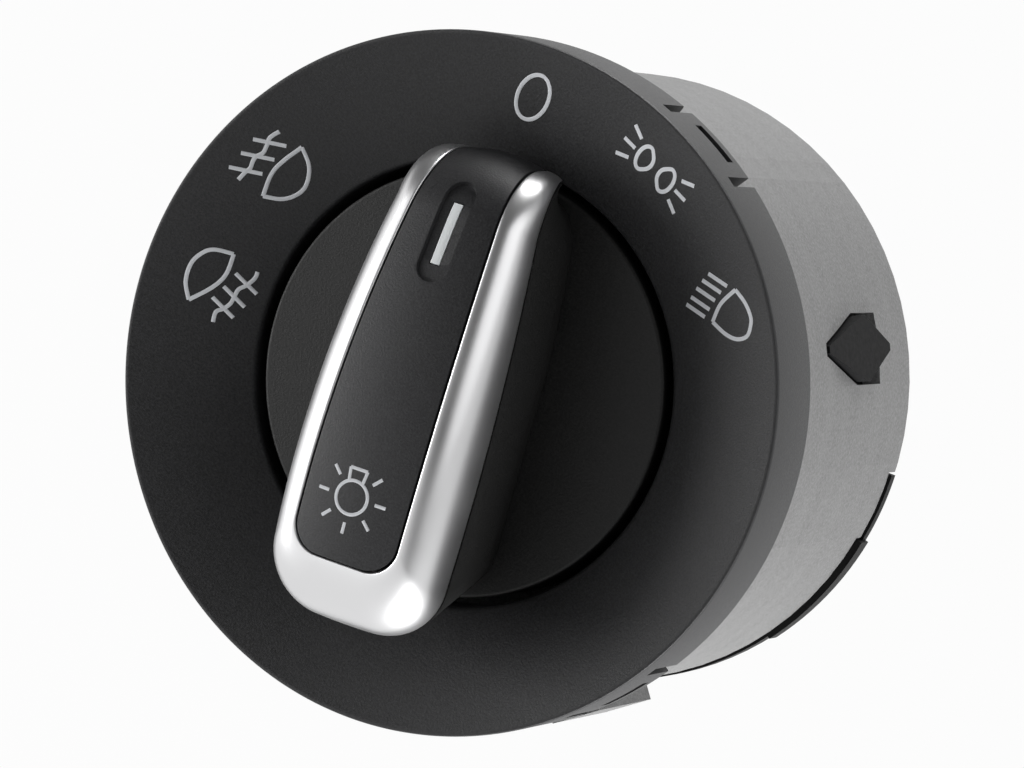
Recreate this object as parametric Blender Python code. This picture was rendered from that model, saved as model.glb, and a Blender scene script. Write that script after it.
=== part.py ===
"""Rotary headlight switch: bezel, turning and pulling knob, round housing, locking latches and contacts.

Sizes are in millimetres and angles in degrees. Every piece is drawn in the switch frame: x to the
driver's right, y up, z out of the panel towards the driver, with the origin on the switch's axis in
the plane where the bezel's skirt seats on the panel. Bearings are turned clockwise from the top, as
the driver sees them. An empty lays that frame into the world, where +Z is up and +Y goes into the panel.
"""
import math

import bmesh
import bpy
from mathutils import Matrix, Vector

MM = 0.001

# Clearances
CLEARANCE = 0.3
SEAM = 0.2
CUT = 1.0

# Bezel
BEZEL_RADIUS = 34.0
BEZEL_STEPS = 72
SKIRT_DEPTH = 9.5
SKIRT_WALL = 1.8
FACE_DISH = 4.45
FACE_WALL = 1.6
FACE_WIDTH = 12.2
EDGE_ROUND = 0.5
BORE_RADIUS = BEZEL_RADIUS - FACE_WIDTH
COLLAR_WALL = 1.4
COLLAR_DEPTH = 5.5

# Snap tongues in the bezel's skirt and the catches that hold them
TONGUE_BEARINGS = (1.5, 106.0, 181.5, 286.0)
TONGUE_HALF_WIDTH = 4.8
TONGUE_LENGTH = 6.1
SLIT_WIDTH = 1.1
CATCH_WINDOW_HALF = 2.4
CATCH_WINDOW_BACK = 1.5
CATCH_WINDOW_HEIGHT = 1.6
CATCH_RISE = 1.5

# Housing, which passes through the panel behind the bezel's lip
PANEL_LIP = 2.4
HOUSING_RADIUS = BEZEL_RADIUS - PANEL_LIP
HOUSING_WALL = 1.8
HOUSING_INNER = HOUSING_RADIUS - HOUSING_WALL
HOUSING_DEPTH = 38.9
HOUSING_STEPS = 72
BULKHEAD_BACK = 7.0
BULKHEAD_WALL = 2.0
JOURNAL_RADIUS = 8.7
JOURNAL_PLAY = 0.25
BEARING_WALL = 1.6
BEARING_LENGTH = 3.4

# Rib that keeps the housing from turning in the panel
KEY_BEARING = 117.4
KEY_HALF = 2.5
KEY_FRONT = 0.6
KEY_BACK = 15.2

# Locking latches
LATCH_BEARINGS = {"latch_right": 38.4, "latch_left": 218.4}
LATCH_STEM_FRONT = 21.7
LATCH_WINDOW_BACK = 29.0
LATCH_WINDOW_HALF = 3.6
NOSE_TIP = 12.8
NOSE_SHOULDER = 21.9
NOSE_REAR_SHOULDER = 22.4
NOSE_REAR = LATCH_WINDOW_BACK - 2 * CLEARANCE
NOSE_HEIGHT = 1.4
NOSE_TIP_HALF = 0.35
NOSE_THICKNESS = 1.3
LATCH_BLOCK_HALF = 3.5
NOSE_WELL_MARGIN = 0.2
LATCH_BLOCK_FRONT = 20.4
LATCH_BLOCK_BACK = 29.0
LATCH_BLOCK_LENGTH = 5.3
LATCH_TAIL_HALF = 1.6
LATCH_TAIL_THICKNESS = 1.4
LATCH_TAIL_OVERREACH = 2.5
GUIDE_WALL = 1.2
GUIDE_LEDGE = 0.8
GUIDE_REACH = 13.8
GUIDE_INNER_RADIUS = HOUSING_INNER - GUIDE_REACH
LATCH_TAIL_REACH = GUIDE_INNER_RADIUS - LATCH_TAIL_OVERREACH
LATCH_TRAVEL = 3.3
LATCH_SPRING_RADIUS = 1.9
LATCH_SPRING_WIRE = 0.45
LATCH_SPRING_TURNS = 5

# Rear cover, placed from the housing's rear edge
COVER_WALL = 2.0
COVER_FRONT = HOUSING_DEPTH - COVER_WALL
COVER_SKIRT_WALL = 1.2
COVER_SKIRT_DEPTH = 3.9
FLAP_REAR_STEP = 0.1

# The cover's rim flap, part by part: first and last bearing, rise over the housing, length, gap before it
FLAP_PARTS = (
    (62.0, 76.5, 0.15, 1.3, 0.7),
    (76.5, 101.5, 0.5, 2.4, 0.9),
    (101.5, 142.0, 0.2, 2.3, 1.0),
)
FLAP_STEPS = 12
FLAP_END_TURN = math.degrees(CLEARANCE / HOUSING_RADIUS)

# Connector shroud
SHROUD_CENTRE_X = 8.0
SHROUD_INSET = 14.8
SHROUD_CENTRE_Y = SHROUD_INSET - HOUSING_INNER
SHROUD_HALF_X = 9.9
SHROUD_HALF_Y = 5.2
SHROUD_WALL = 1.2
SHROUD_RECESS = 2.9
SHROUD_FLOOR_FRONT = COVER_FRONT - SHROUD_RECESS
SHROUD_FLOOR = 1.2
SHROUD_LENGTH = 8.6
SHROUD_NIB_HALF = 2.2
SHROUD_NIB_HEIGHT = 1.0
SHROUD_NIB_LENGTH = 2.4

# Connector pins
PIN_COLUMNS = 5
PIN_ROWS = 2
PIN_PITCH_X = 3.2
PIN_PITCH_Y = 4.5
PIN_SIDE = 0.8
PIN_TIP_COVER = 5.0
PIN_TIP_DEPTH = HOUSING_DEPTH + SHROUD_LENGTH - PIN_TIP_COVER
PIN_POINT = 0.5
PIN_STANDOFF = 0.9

# Boards
BOARD_WALL = 1.6
MAIN_BOARD_FRONT = 15.2
MAIN_BOARD_PLAY = 1.0
MAIN_BOARD_RADIUS = HOUSING_INNER - MAIN_BOARD_PLAY
MAIN_BOARD_HOLE = 7.5
BOARD_POST_BEARINGS = (85.0, 112.0, 265.0, 320.0)
BOARD_POST_RADIUS = 2.2
BOARD_POST_INSET = 3.8
BOARD_POST_CIRCLE = MAIN_BOARD_RADIUS - BOARD_POST_INSET
BOARD_STAKE_RADIUS = 1.0
BOARD_STAKE_RISE = 1.0
LAMP_BOARD_WALL = 1.5
LAMP_LENGTH = 3.2
LAMP_WIDTH = 2.8
LAMP_HEIGHT = 1.2
SYMBOL_BEARINGS = {
    "off": -29.0,
    "side_lights": 0.0,
    "dipped_beam": 29.0,
    "front_fog": -88.0,
    "rear_fog": -115.5,
}

# Light guide behind the symbols
GUIDE_RING_PLAY = 0.4
GUIDE_RING_OUTER = HOUSING_INNER - GUIDE_RING_PLAY
GUIDE_RING_WIDTH = 5.4
GUIDE_RING_INNER = GUIDE_RING_OUTER - GUIDE_RING_WIDTH
GUIDE_RING_THICKNESS = 2.2
LAMP_INSET = 2.0
LAMP_CIRCLE = GUIDE_RING_OUTER - LAMP_INSET
GUIDE_PIPE_RADIUS = 1.5

# Knob disc
KNOB_GAP = 0.9
KNOB_RADIUS = BORE_RADIUS - KNOB_GAP
KNOB_FRONT = 5.0
KNOB_WALL = 1.8
KNOB_RIM_WALL = 1.4
KNOB_RIM_DEPTH = 8.0
KNOB_EDGE = 0.3
KNOB_REST_BEARING = -29.0
KNOB_BOSS_RADIUS = 6.6
KNOB_BOSS_BACK = 2.0
KNOB_TURN = 58.0
DETENT_STEP = 29.0

# Bar handle, in the handle's own plan: u across, v towards the pointer, h above the disc
HANDLE_OVERHANG = 2.97
HANDLE_LOW_END = -(KNOB_RADIUS + HANDLE_OVERHANG)
HANDLE_END_BULGE = 0.06
HANDLE_WIDE_FROM_END = 15.39
HANDLE_WIDE_V = HANDLE_LOW_END + HANDLE_WIDE_FROM_END
HANDLE_HALF_WIDTH = 9.07
HANDLE_TAPER = 0.0028
HANDLE_WIDE_HEIGHT = 11.7
HANDLE_HEIGHT_TAPER = 0.0031
HANDLE_CORNER = 6.17
FOOT_HALF_WIDTH = 8.2
FOOT_TAPER = 0.0045
FOOT_LOW_MARGIN = 1.1
FOOT_LOW_END = -(KNOB_RADIUS - FOOT_LOW_MARGIN)
FOOT_HIGH_MARGIN = 1.5
FOOT_HIGH_END = KNOB_RADIUS - FOOT_HIGH_MARGIN
FOOT_CORNER = 5.0
FOOT_STEP_HEIGHT = 3.2
FOOT_STEP_SPREAD = 0.6
FOOT_NOSE_ROUND = 2.0

# Hollows in the knob's back, below each end of the handle
POCKET_BOSS_MARGIN = 2.0
POCKET_NEAR = KNOB_BOSS_RADIUS + POCKET_BOSS_MARGIN
POCKET_RIM_MARGIN = 2.9
POCKET_FAR = KNOB_RADIUS - POCKET_RIM_MARGIN
POCKET_LOW_HALF = 5.8
POCKET_LOW_HEIGHT = 11.5
POCKET_HIGH_HALF = 4.2
POCKET_HIGH_HEIGHT = 5.0

# Top cover of the handle, which runs over the pointer end
TRIM_END_WIDTH = 6.59
TRIM_NOSE_OVERHANG = 1.0
TRIM_NOSE_END = KNOB_RADIUS + TRIM_NOSE_OVERHANG
INSERT_LOW_END = HANDLE_LOW_END + TRIM_END_WIDTH
INSERT_LOW_HEIGHT = 17.82
INSERT_LOW_SLOPE = -3.84
INSERT_NOSE_SLOPE = 17.07
INSERT_NOSE_RADIUS = 8.34
INSERT_NOSE_LENGTH = 5.34
INSERT_NOSE_START = TRIM_NOSE_END - INSERT_NOSE_LENGTH
INSERT_END_SLOPE = 88.0
INSERT_END_HEIGHT = 4.0
INSERT_HALF_WIDTH = 5.18
INSERT_TAPER = 0.0258
INSERT_TAPER_GROWTH = 0.0015
INSERT_CORNER = 2.8
INSERT_CROWN = 0.5
INSERT_WALL = 1.4

# Silver trim round the handle
TRIM_SIDE_WALL = 1.2
TRIM_TOP_WALL = 1.5
TRIM_NOSE_HALF = 5.9

# Pointer window
POINTER_BEFORE_NOSE = 4.6
POINTER_LOW = INSERT_NOSE_START - POINTER_BEFORE_NOSE
POINTER_LENGTH = 5.9
POINTER_HALF = 0.475
POINTER_RECESS_HALF = 1.45
POINTER_RECESS_MARGIN = 1.8
POINTER_RECESS_DEPTH = 0.5
POINTER_LENS_DEPTH = 1.6

# Knob shaft and what turns with it
SHAFT_RADIUS = 5.0
SHAFT_FLAT = 4.0
SHAFT_BORE = 2.4
SHAFT_FRONT_HEIGHT = 2.5
SHAFT_COLLAR_RADIUS = 6.5
SHAFT_COLLAR_WALL = 1.5
GROOVE_RADIUS = 3.6
GROOVE_FROM_COVER = 11.9
GROOVE_FRONT = COVER_FRONT - GROOVE_FROM_COVER
FORK_THICKNESS = 2.2
LIGHT_ROD_RADIUS = 2.0
LIGHT_ARM_HALF = 1.4
LIGHT_ARM_BOTTOM = 6.8
LIGHT_ARM_TOP = 9.4
RETURN_SPRING_RADIUS = 7.6
RETURN_SPRING_WIRE = 0.8
RETURN_SPRING_TURNS = 4
ROTOR_RADIUS = 12.9
ROTOR_WALL = 3.0
ROTOR_STEPS = 144
ROTOR_BOSS_RADIUS = 8.4
ROTOR_BOSS_LENGTH = 0.8
NOTCH_DEPTH = 0.7
NOTCH_WIDTH = 5.0
STOP_LUG_BEARING = 120.0
STOP_LUG_HALF = 4.0
STOP_LUG_RISE = 2.6
STOP_BLOCK_SPAN = 5.0
STOP_BLOCK_RISE = 3.4
DETENT_BEARING = 308.0
DETENT_SPRING_WALL = 0.4
DETENT_SPRING_HALF = 8.5
DETENT_SPRING_SPREAD = 4.0
DETENT_NOSE_HALF = 2.2
DETENT_NOSE_RISE = 1.1
DETENT_POST_RADIUS = 1.2
CONTACT_WALL = 0.4
CONTACT_INNER = 9.2
CONTACT_OUTER = 12.0
CONTACT_HUMPS = 3

# Fog-lamp slider, moved by the shaft's groove
SLIDER_INNER = 13.0
SLIDER_OUTER = 17.5
SLIDER_HALF = 3.7
SLIDER_AHEAD = 1.8
SLIDER_FRONT = GROOVE_FRONT - SLIDER_AHEAD
SLIDER_LENGTH = 8.3
SLIDER_BACK = SLIDER_FRONT + SLIDER_LENGTH
FORK_HALF = 5.6
FORK_PAST_CENTRE = 3.0
RAIL_WALL = 1.2
RAIL_PAST_SLIDER = 4.7
RAIL_FRONT = SLIDER_FRONT - RAIL_PAST_SLIDER
FOG_BOARD_WALL = 1.2
FOG_BOARD_GAP = 3.9
FOG_BOARD_BACK = COVER_FRONT - FOG_BOARD_GAP
FOG_CONTACT_HALF = 1.2
FOG_CONTACT_WALL = 0.3
FOG_CONTACT_LENGTH = 6.0

# Lamp for the knob's light rod
KNOB_LAMP_BOARD_HALF = 3.6

# Values that follow from those above
INNER_EDGE = SKIRT_DEPTH - FACE_DISH
SKIRT_INNER = BEZEL_RADIUS - SKIRT_WALL
BULKHEAD_REAR = BULKHEAD_BACK + BULKHEAD_WALL
BEARING_FRONT = BULKHEAD_REAR - BEARING_LENGTH
MAIN_BOARD_BACK = MAIN_BOARD_FRONT + BOARD_WALL
KNOB_BACK = KNOB_FRONT - KNOB_WALL
ROTOR_FRONT = BULKHEAD_REAR + CLEARANCE
ROTOR_BACK = ROTOR_FRONT + ROTOR_WALL
GROOVE_BACK = GROOVE_FRONT + FORK_THICKNESS + 2 * CLEARANCE
SHAFT_BACK = GROOVE_BACK + SHAFT_COLLAR_WALL
GUIDE_HALF = LATCH_BLOCK_HALF + CLEARANCE
GUIDE_OUTER_HALF = GUIDE_HALF + GUIDE_WALL
LATCH_BLOCK_OUTER = HOUSING_INNER - CLEARANCE
LATCH_BLOCK_INNER = LATCH_BLOCK_OUTER - LATCH_BLOCK_LENGTH
GUIDE_FLOOR_BACK = LATCH_BLOCK_FRONT - CLEARANCE
GUIDE_FLOOR_FRONT = GUIDE_FLOOR_BACK - GUIDE_WALL
GUIDE_LEDGE_FRONT = LATCH_BLOCK_BACK + CLEARANCE
GUIDE_BACK = GUIDE_LEDGE_FRONT + GUIDE_WALL

COLOURS = {
    "face_black": ((0.018, 0.018, 0.020), 0.55, 0.0),
    "housing_grey": ((0.20, 0.20, 0.20), 0.60, 0.0),
    "cover_black": ((0.030, 0.030, 0.030), 0.55, 0.0),
    "insert_black": ((0.030, 0.030, 0.032), 0.50, 0.0),
    "satin_silver": ((0.72, 0.72, 0.73), 0.28, 1.0),
    "lens_pale": ((0.62, 0.70, 0.72), 0.30, 0.0),
    "clear_guide": ((0.80, 0.84, 0.86), 0.10, 0.0),
    "acetal_white": ((0.74, 0.73, 0.69), 0.40, 0.0),
    "acetal_dark": ((0.060, 0.060, 0.065), 0.45, 0.0),
    "board_green": ((0.030, 0.16, 0.070), 0.45, 0.0),
    "spring_steel": ((0.55, 0.55, 0.56), 0.32, 1.0),
    "contact_bronze": ((0.70, 0.46, 0.22), 0.30, 1.0),
    "tinned_brass": ((0.72, 0.66, 0.48), 0.28, 1.0),
    "lamp_body": ((0.80, 0.78, 0.60), 0.35, 0.0),
}


def clear_scene():
    """Remove every object that the open file holds."""
    for obj in list(bpy.data.objects):
        bpy.data.objects.remove(obj, do_unlink=True)


def material(name):
    """Return the named material, made once."""
    found = bpy.data.materials.get(name)
    if found:
        return found
    colour, roughness, metallic = COLOURS[name]
    made = bpy.data.materials.new(name)
    made.use_nodes = True
    shader = made.node_tree.nodes["Principled BSDF"]
    shader.inputs["Base Color"].default_value = (*colour, 1.0)
    shader.inputs["Roughness"].default_value = roughness
    shader.inputs["Metallic"].default_value = metallic
    return made


def empty(name, parent=None, turn=(0.0, 0.0, 0.0)):
    """Add an empty that carries pieces, turned by Euler angles in degrees."""
    frame = bpy.data.objects.new(name, None)
    bpy.context.collection.objects.link(frame)
    frame.parent = parent
    frame.rotation_euler = [math.radians(angle) for angle in turn]
    return frame


def finish(name, bm, parent, finish_name=None, crease=35.0):
    """Turn a bmesh drawn in millimetres into a named object under its frame."""
    bmesh.ops.recalc_face_normals(bm, faces=bm.faces)
    bmesh.ops.scale(bm, vec=(MM, MM, MM), verts=bm.verts)
    mesh = bpy.data.meshes.new(name)
    bm.to_mesh(mesh)
    bm.free()
    obj = bpy.data.objects.new(name, mesh)
    bpy.context.collection.objects.link(obj)
    obj.parent = parent
    if finish_name:
        mesh.materials.append(material(finish_name))
        mesh.shade_smooth()
        mesh.set_sharp_from_angle(angle=math.radians(crease))
    return obj


def shape(target, operation, name, bm):
    """Cut a shape from a piece, or join one to it, with an exact Boolean."""
    tool = finish(name, bm, target.parent)
    tool.hide_render = True
    tool.display_type = "WIRE"
    modifier = target.modifiers.new(name, "BOOLEAN")
    modifier.operation = operation
    modifier.solver = "EXACT"
    modifier.object = tool


def polar(bearing, radius, z=0.0):
    """A point at a clockwise bearing from the top."""
    angle = math.radians(bearing)
    return Vector((radius * math.sin(angle), radius * math.cos(angle), z))


def bearing_turn(bearing):
    """The matrix that takes straight up to a bearing."""
    return Matrix.Rotation(-math.radians(bearing), 4, "Z")


def turned(profile, steps, closed=True):
    """Spin a profile of (radius, z) points about the axis."""
    bm = bmesh.new()
    verts = [bm.verts.new((radius, 0.0, z)) for radius, z in profile]
    pairs = list(zip(verts, verts[1:]))
    if closed:
        pairs.append((verts[-1], verts[0]))
    edges = [bm.edges.new(pair) for pair in pairs]
    bmesh.ops.spin(bm, geom=verts + edges, cent=(0, 0, 0), axis=(0, 0, 1), angle=math.tau, steps=steps)
    bmesh.ops.remove_doubles(bm, verts=bm.verts, dist=0.001)
    return bm


def add_prism(bm, outline, low, high):
    """Add an upright prism: an outline of (x, y) points, raised from low to high."""
    face = bm.faces.new([bm.verts.new((x, y, low)) for x, y in outline])
    raised = bmesh.ops.extrude_face_region(bm, geom=[face])["geom"]
    top = [item for item in raised if isinstance(item, bmesh.types.BMVert)]
    bmesh.ops.translate(bm, verts=top, vec=(0, 0, high - low))
    return list(face.verts) + top


def prism(outline, low, high):
    """An upright prism by itself."""
    bm = bmesh.new()
    add_prism(bm, outline, low, high)
    return bm


def rectangle(x_low, x_high, y_low, y_high):
    """The corners of an upright rectangle."""
    return [(x_low, y_low), (x_high, y_low), (x_high, y_high), (x_low, y_high)]


def circle(radius, steps, centre=(0.0, 0.0)):
    """The corners of a regular polygon on a circle."""
    return [
        (centre[0] + radius * math.cos(math.tau * k / steps), centre[1] + radius * math.sin(math.tau * k / steps))
        for k in range(steps)
    ]


def add_radial_block(bm, bearing, half_width, inner, outer, back, front):
    """Add a block that points along a bearing: half its width, its two radii and its two z faces."""
    verts = add_prism(bm, rectangle(-half_width, half_width, inner, outer), back, front)
    bmesh.ops.transform(bm, matrix=bearing_turn(bearing), verts=verts)


def add_sector(bm, bearing_from, bearing_to, inner, outer, back, front, steps):
    """Add a ring segment between two bearings."""
    spread = [bearing_from + (bearing_to - bearing_from) * k / steps for k in range(steps + 1)]
    outline = [polar(bearing, outer).to_2d() for bearing in spread]
    outline += [polar(bearing, inner).to_2d() for bearing in reversed(spread)]
    add_prism(bm, outline, back, front)


def loft(loops, closed_path=False, cap=True):
    """Skin closed loops of points laid one after another."""
    bm = bmesh.new()
    rows = [[bm.verts.new(point) for point in loop] for loop in loops]
    bridges = list(zip(rows, rows[1:]))
    if closed_path:
        bridges.append((rows[-1], rows[0]))
    for near, far in bridges:
        for k in range(len(near)):
            following = (k + 1) % len(near)
            bm.faces.new((near[k], near[following], far[following], far[k]))
    if cap and not closed_path:
        bm.faces.new(list(reversed(rows[0])))
        bm.faces.new(rows[-1])
    return bm


def coil(radius, wire, turns, low, high, centre, direction, sides=6, steps=10):
    """A coil spring of round wire between two heights along a direction, with its ends laid flat."""
    along = direction.normalized()
    across = along.orthogonal().normalized()
    aside = along.cross(across)
    span = high - low - wire
    count = turns * steps
    loops = []
    for k in range(count + 1):
        turn = math.tau * k / steps
        lead = min(max((k - steps * 0.5) / (count - steps), 0.0), 1.0)
        outward = across * math.cos(turn) + aside * math.sin(turn)
        middle = centre + outward * radius + along * (low + wire / 2 + span * lead)
        loops.append([
            middle + (outward * math.cos(math.tau * s / sides) + along * math.sin(math.tau * s / sides)) * wire / 2
            for s in range(sides)
        ])
    return loft(loops)


def face_front(radius):
    """The z of the dished face at a radius."""
    reach = BEZEL_RADIUS - EDGE_ROUND - BORE_RADIUS
    return INNER_EDGE + (radius - BORE_RADIUS) / reach * FACE_DISH


def build_bezel(frame):
    """The dished ring, its rounded front edge, the collar round the knob and the skirt with its tongues."""
    rim = [
        (
            BEZEL_RADIUS - EDGE_ROUND + EDGE_ROUND * math.sin(math.radians(angle)),
            SKIRT_DEPTH - EDGE_ROUND + EDGE_ROUND * math.cos(math.radians(angle)),
        )
        for angle in (0.0, 30.0, 60.0, 90.0)
    ]
    collar_outer = BORE_RADIUS + COLLAR_WALL
    profile = rim + [
        (BEZEL_RADIUS, 0.0),
        (SKIRT_INNER, 0.0),
        (SKIRT_INNER, face_front(SKIRT_INNER) - FACE_WALL),
        (collar_outer, face_front(collar_outer) - FACE_WALL),
        (collar_outer, INNER_EDGE - COLLAR_DEPTH),
        (BORE_RADIUS, INNER_EDGE - COLLAR_DEPTH),
        (BORE_RADIUS, INNER_EDGE - KNOB_EDGE),
        (BORE_RADIUS + KNOB_EDGE, face_front(BORE_RADIUS + KNOB_EDGE)),
    ]
    bezel = finish("bezel", turned(profile, BEZEL_STEPS), frame, "face_black", crease=25.0)
    cuts = bmesh.new()
    slit_offset = math.degrees(TONGUE_HALF_WIDTH / BEZEL_RADIUS)
    for bearing in TONGUE_BEARINGS:
        for side in (-1, 1):
            add_radial_block(
                cuts, bearing + side * slit_offset, SLIT_WIDTH / 2,
                SKIRT_INNER - CUT, BEZEL_RADIUS + CUT, -CUT, TONGUE_LENGTH,
            )
        add_radial_block(
            cuts, bearing, CATCH_WINDOW_HALF, SKIRT_INNER - CUT, BEZEL_RADIUS + CUT,
            CATCH_WINDOW_BACK, CATCH_WINDOW_BACK + CATCH_WINDOW_HEIGHT,
        )
    shape(bezel, "DIFFERENCE", "bezel_cuts", cuts)


def nose_outline(margin=0.0):
    """The plan of a latch nose as (across, depth) points, tip first, grown by a margin."""
    half = LATCH_WINDOW_HALF - CLEARANCE + margin
    return [
        (NOSE_TIP_HALF + margin, NOSE_TIP - margin),
        (half, NOSE_SHOULDER - margin),
        (half, NOSE_REAR_SHOULDER),
        (NOSE_TIP_HALF, NOSE_REAR),
        (-NOSE_TIP_HALF, NOSE_REAR),
        (-half, NOSE_REAR_SHOULDER),
        (-half, NOSE_SHOULDER - margin),
        (-NOSE_TIP_HALF - margin, NOSE_TIP - margin),
    ]


def latch_window_outline():
    """The latch window: square behind, pointed forwards to clear the nose."""
    front = nose_outline(CLEARANCE)
    return [
        front[0],
        front[1],
        (LATCH_WINDOW_HALF, LATCH_WINDOW_BACK),
        (-LATCH_WINDOW_HALF, LATCH_WINDOW_BACK),
        front[6],
        front[7],
    ]


def add_radial_prism(bm, bearing, outline, inner, outer, outer_outline=None):
    """Add a prism raised along a bearing from an (across, depth) outline, tapered where a second is given."""
    loops = [
        [Vector((across, inner, -depth)) for across, depth in outline],
        [Vector((across, outer, -depth)) for across, depth in (outer_outline or outline)],
    ]
    rows = [[bm.verts.new(bearing_turn(bearing) @ point) for point in loop] for loop in loops]
    for k in range(len(outline)):
        following = (k + 1) % len(outline)
        bm.faces.new((rows[0][k], rows[0][following], rows[1][following], rows[1][k]))
    bm.faces.new(list(reversed(rows[0])))
    bm.faces.new(rows[1])


def build_housing(frame):
    """The round cup with its bulkhead, bearing, board posts, stops, latch guides, windows and catches."""
    bearing_bore = JOURNAL_RADIUS + JOURNAL_PLAY
    rim_front = face_front(HOUSING_INNER) - FACE_WALL - CLEARANCE
    profile = [
        (HOUSING_RADIUS, rim_front),
        (HOUSING_RADIUS, -HOUSING_DEPTH),
        (HOUSING_INNER, -HOUSING_DEPTH),
        (HOUSING_INNER, -BULKHEAD_REAR),
        (bearing_bore, -BULKHEAD_REAR),
        (bearing_bore, -BEARING_FRONT),
        (bearing_bore + BEARING_WALL, -BEARING_FRONT),
        (bearing_bore + BEARING_WALL, -BULKHEAD_BACK),
        (HOUSING_INNER, -BULKHEAD_BACK),
        (HOUSING_INNER, rim_front),
    ]
    housing = finish("housing", turned(profile, HOUSING_STEPS), frame, "housing_grey", crease=25.0)

    catches = bmesh.new()
    for bearing in TONGUE_BEARINGS:
        add_radial_block(
            catches, bearing, CATCH_WINDOW_HALF - CLEARANCE, HOUSING_RADIUS - HOUSING_WALL / 2,
            HOUSING_RADIUS + CATCH_RISE, CATCH_WINDOW_BACK + CLEARANCE,
            CATCH_WINDOW_BACK + CATCH_WINDOW_HEIGHT - CLEARANCE,
        )
    add_radial_block(
        catches, KEY_BEARING, KEY_HALF, HOUSING_RADIUS - HOUSING_WALL / 2, BEZEL_RADIUS, -KEY_BACK, -KEY_FRONT,
    )
    shape(housing, "UNION", "housing_catches", catches)

    posts = bmesh.new()
    bulkhead_middle = BULKHEAD_BACK + BULKHEAD_WALL / 2
    for bearing in BOARD_POST_BEARINGS:
        centre = polar(bearing, BOARD_POST_CIRCLE).to_2d()
        add_post(
            posts, centre, BOARD_POST_RADIUS, BOARD_STAKE_RADIUS, -bulkhead_middle,
            -(MAIN_BOARD_FRONT - CLEARANCE), -(MAIN_BOARD_BACK + BOARD_STAKE_RISE),
        )
    for side in (-1, 1):
        centre = bearing_turn(DETENT_BEARING) @ Vector((side * DETENT_SPRING_HALF, detent_post_radius(), 0.0))
        add_prism(posts, circle(DETENT_POST_RADIUS, 12, centre.to_2d()), -ROTOR_BACK, -bulkhead_middle)
    for start in stop_block_bearings():
        add_sector(
            posts, start, start + STOP_BLOCK_SPAN, ROTOR_RADIUS + CLEARANCE + SEAM,
            ROTOR_RADIUS + STOP_BLOCK_RISE, -ROTOR_BACK, -bulkhead_middle, 2,
        )
    shape(housing, "UNION", "housing_posts", posts)

    for name, bearing in LATCH_BEARINGS.items():
        shape(housing, "UNION", name + "_guide", latch_guide(bearing))
        shape(housing, "UNION", name + "_end_wall", latch_end_wall(bearing))

    cuts = bmesh.new()
    for bearing in LATCH_BEARINGS.values():
        add_radial_prism(cuts, bearing, latch_window_outline(), HOUSING_INNER - CUT / 2, HOUSING_RADIUS + CUT)
    shape(housing, "DIFFERENCE", "housing_cuts", cuts)
    for number, (first, last, _, length, gap) in enumerate(FLAP_PARTS):
        flap_cut = bmesh.new()
        add_sector(
            flap_cut, first - (2 * FLAP_END_TURN if number else 0.0), last,
            HOUSING_INNER - CUT / 2, HOUSING_RADIUS + CUT,
            -HOUSING_DEPTH - CUT, -(HOUSING_DEPTH - length - gap), FLAP_STEPS,
        )
        shape(housing, "DIFFERENCE", f"housing_flap_cut_{number}", flap_cut)

    wells = bmesh.new()
    nose_back = HOUSING_RADIUS - NOSE_THICKNESS - LATCH_TRAVEL - CLEARANCE
    for bearing in LATCH_BEARINGS.values():
        add_radial_block(
            wells, bearing, GUIDE_HALF + NOSE_WELL_MARGIN, nose_back, HOUSING_INNER + CLEARANCE,
            -LATCH_BLOCK_FRONT, -GUIDE_FLOOR_FRONT + CUT,
        )
    shape(housing, "DIFFERENCE", "housing_nose_wells", wells)


def add_post(bm, centre, radius, stake_radius, front, shoulder, back):
    """Add a round post with a thinner stake on its end."""
    base = circle(radius, 16, centre)
    stake = circle(stake_radius, 16, centre)
    levels = [(base, front), (base, shoulder), (stake, shoulder), (stake, back)]
    rows = [[bm.verts.new((x, y, z)) for x, y in outline] for outline, z in levels]
    for near, far in zip(rows, rows[1:]):
        for k in range(len(near)):
            following = (k + 1) % len(near)
            bm.faces.new((near[k], near[following], far[following], far[k]))
    bm.faces.new(list(reversed(rows[0])))
    bm.faces.new(rows[-1])


def latch_guide(bearing):
    """A latch's channel as one loft: walls, floor, end wall and ledges, seen along the bearing."""
    reach = HOUSING_INNER + HOUSING_WALL / 2
    section = [
        (-GUIDE_OUTER_HALF, GUIDE_FLOOR_FRONT),
        (GUIDE_OUTER_HALF, GUIDE_FLOOR_FRONT),
        (GUIDE_OUTER_HALF, GUIDE_BACK),
        (GUIDE_HALF - GUIDE_LEDGE, GUIDE_BACK),
        (GUIDE_HALF - GUIDE_LEDGE, GUIDE_LEDGE_FRONT),
        (GUIDE_HALF, GUIDE_LEDGE_FRONT),
        (GUIDE_HALF, GUIDE_FLOOR_BACK),
        (-GUIDE_HALF, GUIDE_FLOOR_BACK),
        (-GUIDE_HALF, GUIDE_LEDGE_FRONT),
        (-GUIDE_HALF + GUIDE_LEDGE, GUIDE_LEDGE_FRONT),
        (-GUIDE_HALF + GUIDE_LEDGE, GUIDE_BACK),
        (-GUIDE_OUTER_HALF, GUIDE_BACK),
    ]
    bm = bmesh.new()
    add_radial_prism(bm, bearing, section, GUIDE_INNER_RADIUS, reach)
    return bm


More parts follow.
